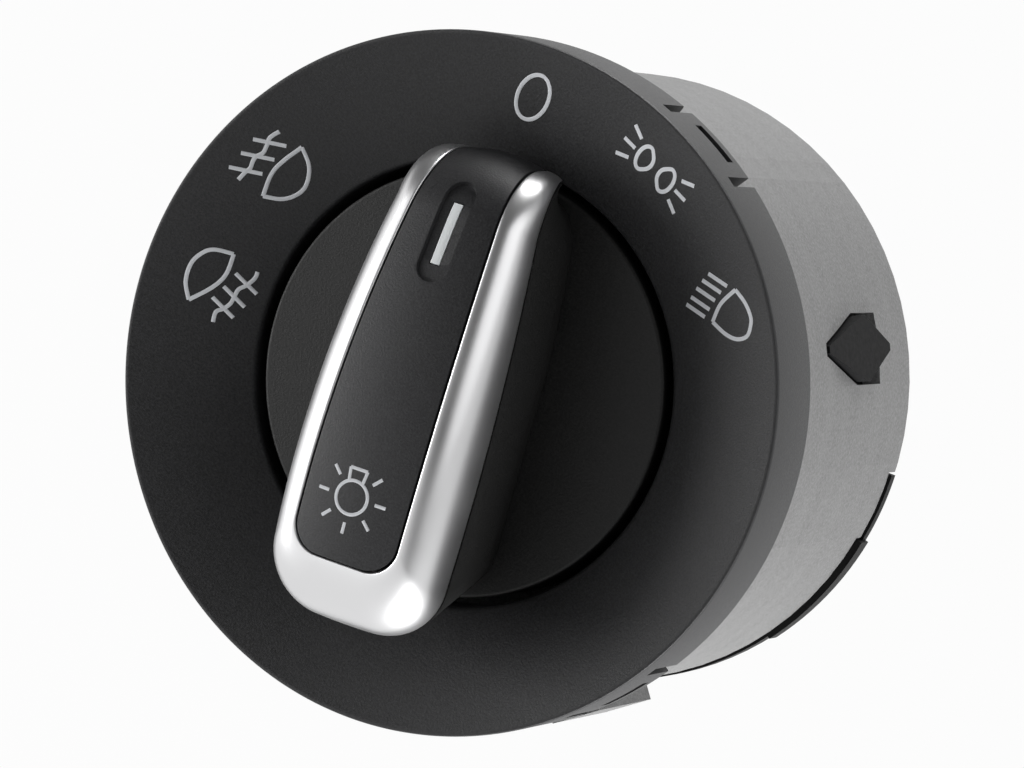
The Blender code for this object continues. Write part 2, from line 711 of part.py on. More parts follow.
def build_latch(name, bearing, frame):
    """One locking latch: the faceted nose, its sliding block and the tail that the shaft releases."""
    carrier = empty(name + "_axis", frame)
    bm = bmesh.new()
    block = rectangle(-LATCH_BLOCK_HALF, LATCH_BLOCK_HALF, LATCH_BLOCK_FRONT, LATCH_BLOCK_BACK)
    add_radial_prism(bm, bearing, block, LATCH_BLOCK_INNER, LATCH_BLOCK_OUTER)
    latch = finish(name, bm, carrier, "acetal_dark", crease=20.0)

    nose = bmesh.new()
    nose_root = HOUSING_RADIUS - NOSE_THICKNESS
    rise = (NOSE_HEIGHT - SEAM) / (NOSE_REAR - NOSE_TIP)
    outline = nose_outline()
    roots = [Vector((across, nose_root, -depth)) for across, depth in outline]
    crowns = [
        Vector((across, HOUSING_RADIUS + SEAM + rise * (depth - NOSE_TIP), -depth)) for across, depth in outline
    ]
    low, high = (
        [nose.verts.new(bearing_turn(bearing) @ point) for point in loop] for loop in (roots, crowns)
    )
    for k in range(len(outline)):
        following = (k + 1) % len(outline)
        nose.faces.new((low[k], low[following], high[following], high[k]))
    nose.faces.new(list(reversed(low)))
    nose.faces.new(high)
    shape(latch, "UNION", name + "_nose", nose)

    stem = bmesh.new()
    stem_half = LATCH_BLOCK_HALF - CLEARANCE - SEAM
    stem_outline = rectangle(-stem_half, stem_half, LATCH_STEM_FRONT, NOSE_REAR - CLEARANCE)
    add_radial_prism(stem, bearing, stem_outline, LATCH_BLOCK_INNER + CUT, nose_root + CLEARANCE)
    shape(latch, "UNION", name + "_stem", stem)

    tail = bmesh.new()
    tail_outline = rectangle(
        -LATCH_TAIL_HALF, LATCH_TAIL_HALF, LATCH_BLOCK_BACK - LATCH_TAIL_THICKNESS, LATCH_BLOCK_BACK - SEAM,
    )
    add_radial_prism(tail, bearing, tail_outline, LATCH_TAIL_REACH, LATCH_BLOCK_INNER + CUT)
    shape(latch, "UNION", name + "_tail", tail)


def latch_end_wall(bearing):
    """The wall that closes a latch's channel behind its spring, low enough for the tail to pass over."""
    bm = bmesh.new()
    low = GUIDE_FLOOR_FRONT + GUIDE_WALL / 2
    high = LATCH_BLOCK_BACK - LATCH_TAIL_THICKNESS - CLEARANCE
    outline = rectangle(-GUIDE_HALF - GUIDE_WALL / 2, GUIDE_HALF + GUIDE_WALL / 2, low, high)
    add_radial_prism(bm, bearing, outline, GUIDE_INNER_RADIUS + SEAM, GUIDE_INNER_RADIUS + SEAM + GUIDE_WALL)
    return bm


def build_latch_spring(name, bearing, frame):
    """The coil behind a latch, between its block and the channel's end wall."""
    middle = (LATCH_BLOCK_FRONT + LATCH_BLOCK_BACK - LATCH_TAIL_THICKNESS) / 2
    along = polar(bearing, 1.0)
    low = GUIDE_INNER_RADIUS + SEAM + GUIDE_WALL + CLEARANCE
    bm = coil(
        LATCH_SPRING_RADIUS, LATCH_SPRING_WIRE, LATCH_SPRING_TURNS, low,
        LATCH_BLOCK_INNER - CLEARANCE, Vector((0, 0, -middle)), along,
    )
    finish(name, bm, frame, "spring_steel", crease=60.0)


def shroud_rectangle(inset):
    """The shroud's outline, drawn in by an inset."""
    return rectangle(
        SHROUD_CENTRE_X - SHROUD_HALF_X + inset, SHROUD_CENTRE_X + SHROUD_HALF_X - inset,
        SHROUD_CENTRE_Y - SHROUD_HALF_Y + inset, SHROUD_CENTRE_Y + SHROUD_HALF_Y - inset,
    )


def pin_places():
    """Where each connector pin stands, as (x, y), column by column along each row."""
    places = []
    for row in range(PIN_ROWS):
        for column in range(PIN_COLUMNS):
            x = SHROUD_CENTRE_X + (column - (PIN_COLUMNS - 1) / 2) * PIN_PITCH_X
            y = SHROUD_CENTRE_Y + (row - (PIN_ROWS - 1) / 2) * PIN_PITCH_Y
            places.append((x, y))
    return places


def pin_holes(low, high):
    """A square cutter round each connector pin, from low to high."""
    half = PIN_SIDE / 2 + CLEARANCE
    holes = bmesh.new()
    for x, y in pin_places():
        add_prism(holes, rectangle(x - half, x + half, y - half, y + half), low, high)
    return holes


def build_rear_cover(frame):
    """The rear cover: plate, snap skirt, rim flap, slider rails and the connector shroud."""
    skirt_outer = HOUSING_INNER - CLEARANCE
    skirt_inner = skirt_outer - COVER_SKIRT_WALL
    skirt_front = COVER_FRONT - COVER_SKIRT_DEPTH
    profile = [
        (0.0, -COVER_FRONT),
        (skirt_inner, -COVER_FRONT),
        (skirt_inner, -skirt_front),
        (skirt_outer, -skirt_front),
        (skirt_outer, -HOUSING_DEPTH),
        (0.0, -HOUSING_DEPTH),
    ]
    cover = finish("rear_cover", turned(profile, HOUSING_STEPS, closed=False), frame, "cover_black", crease=25.0)

    for number, (first, last, rise, length, _) in enumerate(FLAP_PARTS):
        flap = bmesh.new()
        add_sector(
            flap, first + (FLAP_END_TURN if number == 0 else -FLAP_END_TURN),
            last - (FLAP_END_TURN if number == len(FLAP_PARTS) - 1 else 0.0),
            skirt_outer - COVER_SKIRT_WALL / 2, HOUSING_RADIUS + rise,
            -(HOUSING_DEPTH - FLAP_REAR_STEP * (number + 1)), -(HOUSING_DEPTH - length), FLAP_STEPS,
        )
        shape(cover, "UNION", f"cover_flap_{number}", flap)

    guide_notches = bmesh.new()
    for bearing in LATCH_BEARINGS.values():
        add_radial_block(
            guide_notches, bearing, GUIDE_OUTER_HALF + CLEARANCE, skirt_inner - CUT, skirt_outer + CUT,
            -GUIDE_BACK - CLEARANCE, -GUIDE_FLOOR_FRONT,
        )
    shape(cover, "DIFFERENCE", "cover_guide_notches", guide_notches)

    rails = bmesh.new()
    rail_inner = SLIDER_HALF + CLEARANCE
    for side in (-1, 1):
        low, high = sorted((side * rail_inner, side * (rail_inner + RAIL_WALL)))
        add_prism(
            rails, rectangle(-SLIDER_OUTER - CUT - CLEARANCE, -SLIDER_INNER + CUT, low, high),
            -COVER_FRONT - COVER_WALL / 2, -RAIL_FRONT,
        )
    shape(cover, "UNION", "cover_rails", rails)

    shroud = prism(shroud_rectangle(0.0), -HOUSING_DEPTH - SHROUD_LENGTH, -SHROUD_FLOOR_FRONT)
    shape(cover, "UNION", "cover_shroud", shroud)

    nib = bmesh.new()
    top = SHROUD_CENTRE_Y + SHROUD_HALF_Y
    verts = add_prism(
        nib, rectangle(SHROUD_CENTRE_X - SHROUD_NIB_HALF, SHROUD_CENTRE_X + SHROUD_NIB_HALF,
                       top - SHROUD_WALL / 2, top + SHROUD_NIB_HEIGHT),
        -HOUSING_DEPTH - SHROUD_LENGTH / 2 - SHROUD_NIB_LENGTH, -HOUSING_DEPTH - SHROUD_LENGTH / 2,
    )
    rear_top = [v for v in verts if v.co.y > top and v.co.z < -HOUSING_DEPTH - SHROUD_LENGTH / 2 - CUT]
    bmesh.ops.translate(nib, verts=rear_top, vec=(0, -SHROUD_NIB_HEIGHT + SEAM, 0))
    shape(cover, "UNION", "cover_nib", nib)

    socket = prism(
        shroud_rectangle(SHROUD_WALL), -HOUSING_DEPTH - SHROUD_LENGTH - CUT, -SHROUD_FLOOR_FRONT - SHROUD_FLOOR,
    )
    shape(cover, "DIFFERENCE", "cover_socket", socket)

    holes = pin_holes(-SHROUD_FLOOR_FRONT - SHROUD_FLOOR - CUT, -SHROUD_FLOOR_FRONT + CUT)
    shape(cover, "DIFFERENCE", "cover_pin_holes", holes)


def build_pins(frame):
    """The connector's pins, from the main board to their pointed tips in the shroud."""
    half = PIN_SIDE / 2
    tip_half = half - PIN_POINT / 2
    front = MAIN_BOARD_FRONT - PIN_STANDOFF
    levels = ((front, half), (PIN_TIP_DEPTH - PIN_POINT, half), (PIN_TIP_DEPTH, tip_half))
    for number, (x, y) in enumerate(pin_places(), start=1):
        loops = [
            [Vector((across, up, -depth)) for across, up in rectangle(x - reach, x + reach, y - reach, y + reach)]
            for depth, reach in levels
        ]
        finish("connector_pin_%02d" % number, loft(loops), frame, "tinned_brass", crease=20.0)


def build_main_board(frame):
    """The main board: round, open in the middle, notched for the latch guides, drilled for posts and pins."""
    board = finish(
        "main_board", prism(circle(MAIN_BOARD_RADIUS, HOUSING_STEPS), -MAIN_BOARD_BACK, -MAIN_BOARD_FRONT),
        frame, "board_green", crease=25.0,
    )
    low = -MAIN_BOARD_BACK - CUT
    high = -MAIN_BOARD_FRONT + CUT
    shape(board, "DIFFERENCE", "main_board_hole", prism(circle(MAIN_BOARD_HOLE, 36), low, high))
    notches = bmesh.new()
    for bearing in LATCH_BEARINGS.values():
        add_radial_block(
            notches, bearing, GUIDE_OUTER_HALF + CLEARANCE, GUIDE_INNER_RADIUS - CLEARANCE,
            MAIN_BOARD_RADIUS + CUT, low, high,
        )
    shape(board, "DIFFERENCE", "main_board_notches", notches)
    stakes = bmesh.new()
    for bearing in BOARD_POST_BEARINGS:
        centre = polar(bearing, BOARD_POST_CIRCLE).to_2d()
        add_prism(stakes, circle(BOARD_STAKE_RADIUS + CLEARANCE, 16, centre), low, high)
    shape(board, "DIFFERENCE", "main_board_stake_holes", stakes)
    shape(board, "DIFFERENCE", "main_board_pin_holes", pin_holes(low, high))


def build_lamps(frame):
    """The ring board on the bulkhead, one lamp for each symbol and the light guide in front of them."""
    board_back = BULKHEAD_BACK - CLEARANCE
    board_front = board_back - LAMP_BOARD_WALL
    board_inner = GUIDE_RING_INNER - CLEARANCE
    board_outer = GUIDE_RING_OUTER
    ring = [
        (board_inner, -board_front),
        (board_inner, -board_back),
        (board_outer, -board_back),
        (board_outer, -board_front),
    ]
    finish("lamp_board", turned(ring, HOUSING_STEPS), frame, "board_green", crease=25.0)

    lamp_back = board_front - CLEARANCE
    lamp_front = lamp_back - LAMP_HEIGHT
    for symbol, bearing in SYMBOL_BEARINGS.items():
        bm = bmesh.new()
        add_radial_block(
            bm, bearing, LAMP_LENGTH / 2, LAMP_CIRCLE - LAMP_WIDTH / 2, LAMP_CIRCLE + LAMP_WIDTH / 2,
            -lamp_back, -lamp_front,
        )
        finish("lamp_" + symbol, bm, frame, "lamp_body", crease=20.0)

    front_inner = face_front(GUIDE_RING_INNER) - FACE_WALL - CLEARANCE
    front_outer = face_front(GUIDE_RING_OUTER) - FACE_WALL - CLEARANCE
    guide = finish(
        "symbol_light_guide",
        turned(
            [
                (GUIDE_RING_INNER, front_inner),
                (GUIDE_RING_INNER, front_inner - GUIDE_RING_THICKNESS),
                (GUIDE_RING_OUTER, front_outer - GUIDE_RING_THICKNESS),
                (GUIDE_RING_OUTER, front_outer),
            ],
            HOUSING_STEPS,
        ),
        frame, "clear_guide", crease=25.0,
    )
    pipes = bmesh.new()
    for bearing in SYMBOL_BEARINGS.values():
        centre = polar(bearing, LAMP_CIRCLE).to_2d()
        add_prism(
            pipes, circle(GUIDE_PIPE_RADIUS, 16, centre), -lamp_front + CLEARANCE,
            face_front(LAMP_CIRCLE) - FACE_WALL - CLEARANCE - GUIDE_RING_THICKNESS / 2,
        )
    shape(guide, "UNION", "light_pipes", pipes)


def build_knob_lamp(frame):
    """The small board on the rear cover and the lamp that shines into the knob's light rod."""
    board_back = COVER_FRONT - CLEARANCE
    board_front = board_back - BOARD_WALL
    half = KNOB_LAMP_BOARD_HALF
    finish(
        "knob_lamp_board", prism(rectangle(-half, half, -half, half), -board_back, -board_front),
        frame, "board_green", crease=20.0,
    )
    lamp_back = board_front - CLEARANCE
    finish(
        "knob_lamp",
        prism(
            rectangle(-LAMP_LENGTH / 2, LAMP_LENGTH / 2, -LAMP_WIDTH / 2, LAMP_WIDTH / 2),
            -lamp_back, -(lamp_back - LAMP_HEIGHT),
        ),
        frame, "lamp_body", crease=20.0,
    )


def rotor_notches():
    """Rest bearings of the three notches that come under the spring's nose in turn."""
    return [DETENT_BEARING - k * DETENT_STEP for k in range(3)]


def stop_block_bearings():
    """Where each stop block starts, so that the lug turns freely through its range between them."""
    play = math.degrees(CLEARANCE / ROTOR_RADIUS)
    first = STOP_LUG_BEARING - STOP_LUG_HALF - play - STOP_BLOCK_SPAN
    second = STOP_LUG_BEARING + KNOB_TURN + STOP_LUG_HALF + play
    return first, second


def rotor_outline():
    """The rotor's rim: round, with three notches for the spring's nose."""
    outline = []
    for k in range(ROTOR_STEPS):
        turn = math.tau * k / ROTOR_STEPS
        bearing = math.degrees(turn)
        radius = ROTOR_RADIUS
        for notch in rotor_notches():
            off = math.degrees(math.remainder(turn - math.radians(notch), math.tau))
            radius -= NOTCH_DEPTH * math.exp(-(off / NOTCH_WIDTH) ** 2)
        outline.append(polar(bearing, radius).to_2d())
    return outline


def flatted_outline(radius, flat, steps=8):
    """A round outline with two flats, one above and one below."""
    limit = math.asin(flat / radius)
    right = [(-limit + 2 * limit * k / steps) for k in range(steps + 1)]
    outline = [(radius * math.cos(angle), radius * math.sin(angle)) for angle in right]
    return outline + [(-x, -y) for x, y in outline]


def build_rotor(carrier):
    """The detent rotor: journal, notched flange with its stop lug, boss and the shaft's flatted bore."""
    profile = [
        (0.0, -BEARING_FRONT),
        (JOURNAL_RADIUS, -BEARING_FRONT),
        (JOURNAL_RADIUS, -ROTOR_FRONT - CLEARANCE),
        (ROTOR_BOSS_RADIUS, -ROTOR_FRONT - CLEARANCE),
        (ROTOR_BOSS_RADIUS, -ROTOR_BACK - ROTOR_BOSS_LENGTH),
        (0.0, -ROTOR_BACK - ROTOR_BOSS_LENGTH),
    ]
    rotor = finish("detent_rotor", turned(profile, 48, closed=False), carrier, "acetal_white", crease=25.0)
    shape(rotor, "UNION", "rotor_flange", prism(rotor_outline(), -ROTOR_BACK, -ROTOR_FRONT))
    lug = bmesh.new()
    add_sector(
        lug, STOP_LUG_BEARING - STOP_LUG_HALF, STOP_LUG_BEARING + STOP_LUG_HALF, ROTOR_RADIUS - CUT,
        ROTOR_RADIUS + STOP_LUG_RISE, -ROTOR_BACK + SEAM, -ROTOR_FRONT - SEAM, 2,
    )
    shape(rotor, "UNION", "rotor_lug", lug)
    bore = prism(
        flatted_outline(SHAFT_RADIUS + CLEARANCE, SHAFT_FLAT + CLEARANCE),
        -ROTOR_BACK - ROTOR_BOSS_LENGTH - CUT, -BEARING_FRONT + CUT,
    )
    bmesh.ops.transform(bore, matrix=bearing_turn(KNOB_REST_BEARING), verts=bore.verts)
    shape(rotor, "DIFFERENCE", "rotor_bore", bore)


def build_rotor_contact(carrier):
    """The wavy contact ring on the rotor's back, whose humps wipe the main board."""
    low = ROTOR_BACK + CLEARANCE
    rise = MAIN_BOARD_FRONT - CLEARANCE - low - CONTACT_WALL
    loops = []
    steps = 48
    for k in range(steps):
        turn = math.tau * k / steps
        depth = low + rise * (1.0 - math.cos(CONTACT_HUMPS * turn)) / 2
        outward = Vector((math.cos(turn), math.sin(turn), 0.0))
        loops.append([
            outward * CONTACT_INNER + Vector((0, 0, -depth)),
            outward * CONTACT_OUTER + Vector((0, 0, -depth)),
            outward * CONTACT_OUTER + Vector((0, 0, -depth - CONTACT_WALL)),
            outward * CONTACT_INNER + Vector((0, 0, -depth - CONTACT_WALL)),
        ])
    finish("rotor_contact", loft(loops, closed_path=True), carrier, "contact_bronze", crease=50.0)


def detent_nose_radius():
    """How close the spring's nose stands to the axis: just clear of the rotor's full rim."""
    return ROTOR_RADIUS + CLEARANCE


def detent_post_radius():
    """How far out the spring's posts stand."""
    return (
        detent_nose_radius() + DETENT_SPRING_SPREAD + DETENT_SPRING_WALL + CLEARANCE + DETENT_POST_RADIUS
    )


def build_detent_spring(frame):
    """The leaf spring whose nose drops into the rotor's notches."""
    nose = detent_nose_radius()
    inner = [
        (-DETENT_SPRING_HALF - DETENT_POST_RADIUS, nose + DETENT_SPRING_SPREAD),
        (-DETENT_NOSE_HALF, nose + DETENT_NOSE_RISE),
        (-DETENT_NOSE_HALF / 3, nose),
        (DETENT_NOSE_HALF / 3, nose),
        (DETENT_NOSE_HALF, nose + DETENT_NOSE_RISE),
        (DETENT_SPRING_HALF + DETENT_POST_RADIUS, nose + DETENT_SPRING_SPREAD),
    ]
    outer = [(x, y + DETENT_SPRING_WALL) for x, y in reversed(inner)]
    bm = bmesh.new()
    verts = add_prism(bm, inner + outer, -ROTOR_BACK + SEAM, -ROTOR_FRONT - SEAM)
    bmesh.ops.transform(bm, matrix=bearing_turn(DETENT_BEARING), verts=verts)
    finish("detent_spring", bm, frame, "spring_steel", crease=20.0)


def build_shaft(carrier):
    """The knob's hollow shaft: two flats in front, and a groove between collars behind."""
    front = KNOB_FRONT + SHAFT_FRONT_HEIGHT
    collar_front = GROOVE_FRONT - SHAFT_COLLAR_WALL
    profile = [
        (SHAFT_RADIUS, front),
        (SHAFT_RADIUS, -collar_front),
        (SHAFT_COLLAR_RADIUS, -collar_front),
        (SHAFT_COLLAR_RADIUS, -GROOVE_FRONT),
        (GROOVE_RADIUS, -GROOVE_FRONT),
        (GROOVE_RADIUS, -GROOVE_BACK),
        (SHAFT_COLLAR_RADIUS, -GROOVE_BACK),
        (SHAFT_COLLAR_RADIUS, -SHAFT_BACK),
        (SHAFT_BORE, -SHAFT_BACK),
        (SHAFT_BORE, front),
    ]
    shaft = finish("knob_shaft", turned(profile, 32), carrier, "acetal_dark", crease=25.0)
    flats = bmesh.new()
    for side in (-1, 1):
        low, high = sorted((side * SHAFT_FLAT, side * (SHAFT_RADIUS + CUT)))
        add_prism(
            flats, rectangle(-SHAFT_RADIUS - CUT, SHAFT_RADIUS + CUT, low, high),
            -collar_front + SEAM, front + CUT,
        )
    shape(shaft, "DIFFERENCE", "shaft_flats", flats)


def insert_half_width(v):
    """Half the top cover's width at a place along the handle."""
    return INSERT_HALF_WIDTH - INSERT_TAPER * v - INSERT_TAPER_GROWTH * v * v


def crest(v):
    """Height and slope of the handle's crest line: an arch along the handle, then the nose's bend."""
    low, high = (math.tan(math.radians(angle)) for angle in (INSERT_LOW_SLOPE, INSERT_NOSE_SLOPE))
    along = min(v, INSERT_NOSE_START) - INSERT_LOW_END
    bend = (high - low) / (INSERT_NOSE_START - INSERT_LOW_END)
    height = INSERT_LOW_HEIGHT - low * along - bend * along ** 2 / 2
    if v <= INSERT_NOSE_START:
        return height, math.atan(low + bend * along)
    slope = math.radians(INSERT_NOSE_SLOPE)
    turn = math.asin(min(math.sin(slope) + (v - INSERT_NOSE_START) / INSERT_NOSE_RADIUS, 1.0))
    return height - INSERT_NOSE_RADIUS * (math.cos(slope) - math.cos(turn)), turn


def nose_stations(steps, end_height):
    """The crest's stations round the nose and down to its end, as (v, h, slope)."""
    slope = math.radians(INSERT_NOSE_SLOPE)
    start, _ = crest(INSERT_NOSE_START)
    stations = []
    for k in range(1, steps + 1):
        turn = slope + (math.radians(INSERT_END_SLOPE) - slope) * k / steps
        stations.append((
            INSERT_NOSE_START + INSERT_NOSE_RADIUS * (math.sin(turn) - math.sin(slope)),
            start - INSERT_NOSE_RADIUS * (math.cos(slope) - math.cos(turn)),
            turn,
        ))
    v, h, turn = stations[-1]
    stations.append((v + (h - end_height) / math.tan(turn), end_height, turn))
    return stations


def crest_normal(slope):
    """The outward normal of the crest line."""
    return Vector((0.0, math.sin(slope), math.cos(slope)))


def handle_half_width(v):
    """Half the handle's greatest width at a place along it."""
    return HANDLE_HALF_WIDTH - HANDLE_TAPER * (v - HANDLE_WIDE_V) ** 2


def handle_wide_height(v):
    """How high above the disc the handle is widest."""
    return HANDLE_WIDE_HEIGHT - HANDLE_HEIGHT_TAPER * (v - HANDLE_WIDE_V) ** 2


ARM_STEPS = 7
NOSE_STEPS = 7
CORNER_STEPS = 6
END_STEPS = 2


def handle_stations(end_height):
    """The trim's two edge lines, from the pointer end round the low end and back.

    Each station is (inner edge, outer edge, crest normal) in the handle's plan.
    """
    inner_corner = INSERT_CORNER + SEAM
    inner_corner_v = INSERT_LOW_END + INSERT_CORNER
    outer_corner_v = HANDLE_LOW_END + HANDLE_CORNER
    right = []

    nose = nose_stations(NOSE_STEPS, end_height)
    wide_start = handle_half_width(INSERT_NOSE_START)
    high_start = handle_wide_height(INSERT_NOSE_START)
    for k, (v, h, slope) in enumerate(nose, start=1):
        turn = math.pi / 2 * k / len(nose)
        outer = Vector((
            TRIM_NOSE_HALF + (wide_start - TRIM_NOSE_HALF) * math.cos(turn),
            INSERT_NOSE_START + (TRIM_NOSE_END - INSERT_NOSE_START) * math.sin(turn),
            end_height + (high_start - end_height) * math.cos(turn),
        ))
        right.append((Vector((insert_half_width(v) + SEAM, v, h)), outer, crest_normal(slope)))
    right.reverse()

    for k in range(ARM_STEPS + 1):
        v = INSERT_NOSE_START + (inner_corner_v - INSERT_NOSE_START) * k / ARM_STEPS
        v_out = INSERT_NOSE_START + (outer_corner_v - INSERT_NOSE_START) * k / ARM_STEPS
        h, slope = crest(v)
        right.append((
            Vector((insert_half_width(v) + SEAM, v, h)),
            Vector((handle_half_width(v_out), v_out, handle_wide_height(v_out))),
            crest_normal(slope),
        ))

    inner_x = insert_half_width(inner_corner_v) - INSERT_CORNER
    outer_x = handle_half_width(outer_corner_v) - HANDLE_CORNER
    for k in range(1, CORNER_STEPS + 1):
        turn = math.pi / 2 * k / CORNER_STEPS
        v = inner_corner_v - inner_corner * math.sin(turn)
        v_out = outer_corner_v - HANDLE_CORNER * math.sin(turn)
        h, slope = crest(v)
        right.append((
            Vector((inner_x + inner_corner * math.cos(turn), v, h)),
            Vector((outer_x + HANDLE_CORNER * math.cos(turn), v_out, handle_wide_height(v_out))),
            crest_normal(slope),
        ))

    low_v = inner_corner_v - inner_corner
    for k in range(1, END_STEPS + 1):
        share = 1.0 - k / END_STEPS
        v_out = HANDLE_LOW_END - HANDLE_END_BULGE * (1.0 - share * share)
        h, slope = crest(low_v)
        right.append((
            Vector((inner_x * share, low_v, h)),
            Vector((outer_x * share, v_out, handle_wide_height(v_out))),
            crest_normal(slope),
        ))

    left = [
        tuple(Vector((-point.x, point.y, point.z)) for point in station)
        for station in reversed(right[:-1])
    ]
    return right + left


def split_edges(inner, outer, normal):
    """The sideways and the downward part of the step from a station's inner edge to its outer edge."""
    step = outer - inner
    down = normal * step.dot(normal)
    return step - down, down


def shoulder(inner, outer, normal, turns):
    """Points on the rounded shoulder between two edges."""
    sideways, down = split_edges(inner, outer, normal)
    return [inner + sideways * math.sin(turn) + down * (1.0 - math.cos(turn)) for turn in turns]


SHOULDER_TURNS = [math.radians(angle) for angle in (0.0, 30.0, 60.0, 90.0)]
SHOULDER_FINE_TURNS = [math.radians(angle) for angle in (0.0, 18.0, 36.0, 54.0, 72.0, 90.0)]


def build_trim(carrier):
    """The silver trim: a thin rounded shell laid round the handle, open at the pointer end."""
    loops = []
    for inner, outer, normal in handle_stations(INSERT_END_HEIGHT):
        sideways, _ = split_edges(inner, outer, normal)
        top = shoulder(inner, outer, normal, SHOULDER_FINE_TURNS)
        wall = min(TRIM_TOP_WALL, (inner - outer).dot(normal))
        under = shoulder(
            inner - normal * wall, outer - sideways.normalized() * TRIM_SIDE_WALL, normal, SHOULDER_TURNS,
        )
        loops.append(top + list(reversed(under)))
    bm = loft(loops)
    bmesh.ops.translate(bm, verts=bm.verts, vec=(0, 0, KNOB_FRONT))
    finish("knob_trim", bm, carrier, "satin_silver", crease=40.0)


def foot_outline(stations, spread, height):
    """The handle's foot on the disc, with one point for each station."""
    low_start = FOOT_LOW_END + FOOT_CORNER
    outer_low = HANDLE_LOW_END + HANDLE_CORNER
    arm = NOSE_STEPS + 1 + ARM_STEPS
    points = []
    for k, (_, outer, _) in enumerate(stations):
        side = 1.0 if k < len(stations) / 2 else -1.0
        place = min(k, len(stations) - 1 - k)
        if place <= arm:
            share = (outer.y - outer_low) / (TRIM_NOSE_END - outer_low)
            v = low_start + (FOOT_HIGH_END - low_start) * share
            round_off = max(1.0 - place / (NOSE_STEPS + 1), 0.0)
            u = FOOT_HALF_WIDTH - FOOT_TAPER * max(v, 0.0) ** 2
            u -= FOOT_NOSE_ROUND * (1.0 - math.cos(math.pi / 2 * round_off))
        else:
            turn = math.pi / 2 * min((place - arm) / CORNER_STEPS, 1.0)
            corner_x = FOOT_HALF_WIDTH - FOOT_CORNER
            v = low_start - FOOT_CORNER * math.sin(turn)
            u = corner_x + FOOT_CORNER * math.cos(turn)
            past = place - arm - CORNER_STEPS
            if past > 0:
                u = corner_x * (1.0 - past / END_STEPS)
        grown_u = u * (1.0 + spread / FOOT_HALF_WIDTH)
        grown_v = v * (1.0 + spread / FOOT_HIGH_END)
        points.append(Vector((side * grown_u, grown_v, height)))
    return points


def build_handle():
    """The handle's core as one skin: foot, flanks, ledge under the trim, shoulder and plateau."""
    stations = handle_stations(INSERT_END_HEIGHT - CLEARANCE)
    rings = [
        foot_outline(stations, 0.0, -KNOB_WALL * 2 / 3),
        foot_outline(stations, FOOT_STEP_SPREAD, FOOT_STEP_HEIGHT),
        [outer - normal * SEAM for _, outer, normal in stations],
    ]
    shoulders = []
    for inner, outer, normal in stations:
        sideways, _ = split_edges(inner, outer, normal)
        outward = sideways.normalized()
        core_inner = inner - normal * (TRIM_TOP_WALL + CLEARANCE) - outward * CLEARANCE
        core_outer = outer - outward * (TRIM_SIDE_WALL + CLEARANCE) - normal * 2 * SEAM
        shoulders.append(list(reversed(shoulder(core_inner, core_outer, normal, SHOULDER_TURNS))))
    rings += [list(ring) for ring in zip(*shoulders)]
    bm = bmesh.new()
    rows = [[bm.verts.new(point) for point in ring] for ring in rings]
    count = len(stations)
    for near, far in zip(rows, rows[1:]):
        for k in range(count):
            following = (k + 1) % count
            bm.faces.new((near[k], near[following], far[following], far[k]))
    bm.faces.new(list(reversed(rows[0])))
    plateau = rows[-1]
    arm = NOSE_STEPS + 1 + ARM_STEPS
    for k in range(arm):
        bm.faces.new((plateau[k], plateau[k + 1], plateau[count - 2 - k], plateau[count - 1 - k]))
    bm.faces.new(plateau[arm:count - arm])
    bmesh.ops.translate(bm, verts=bm.verts, vec=(0, 0, KNOB_FRONT))
    return bm


def build_knob_body(carrier):
    """The knob moulding: disc, rim, boss and bar handle, bored for the shaft and the light rod."""
    rim_inner = KNOB_RADIUS - KNOB_RIM_WALL
    rim_back = KNOB_FRONT - KNOB_RIM_DEPTH
    profile = [
        (0.0, KNOB_FRONT),
        (KNOB_RADIUS - KNOB_EDGE, KNOB_FRONT),
        (KNOB_RADIUS, KNOB_FRONT - KNOB_EDGE),
        (KNOB_RADIUS, rim_back),
        (rim_inner, rim_back),
        (rim_inner, KNOB_BACK),
        (KNOB_BOSS_RADIUS, KNOB_BACK),
        (KNOB_BOSS_RADIUS, -KNOB_BOSS_BACK),
        (0.0, -KNOB_BOSS_BACK),
    ]
    knob = finish("knob_body", turned(profile, HOUSING_STEPS, closed=False), carrier, "face_black", crease=30.0)
    shape(knob, "UNION", "knob_handle", build_handle())

    bore = prism(
        flatted_outline(SHAFT_RADIUS + CLEARANCE, SHAFT_FLAT + CLEARANCE),
        -KNOB_BOSS_BACK - CUT, KNOB_FRONT + SHAFT_FRONT_HEIGHT + CLEARANCE,
    )
    shape(knob, "DIFFERENCE", "knob_bore", bore)
    rod = prism(circle(SHAFT_BORE, 16), KNOB_FRONT, KNOB_FRONT + LIGHT_ARM_TOP)
    shape(knob, "DIFFERENCE", "knob_rod_bore", rod)
    groove = prism(
        rectangle(
            -LIGHT_ARM_HALF - CLEARANCE, LIGHT_ARM_HALF + CLEARANCE,
            -LIGHT_ARM_HALF - CLEARANCE, light_riser()[1] + CLEARANCE,
        ),
        KNOB_FRONT + LIGHT_ARM_BOTTOM - CLEARANCE, KNOB_FRONT + INSERT_LOW_HEIGHT + CUT,
    )
    shape(knob, "DIFFERENCE", "knob_groove", groove)
    pockets = bmesh.new()
    for low, high, half, top in (
        (-POCKET_FAR, -POCKET_NEAR, POCKET_LOW_HALF, POCKET_LOW_HEIGHT),
        (POCKET_NEAR, POCKET_FAR, POCKET_HIGH_HALF, POCKET_HIGH_HEIGHT),
    ):
        add_prism(pockets, rectangle(-half, half, low, high), KNOB_BACK - CUT, KNOB_FRONT + top)
    shape(knob, "DIFFERENCE", "knob_pockets", pockets)


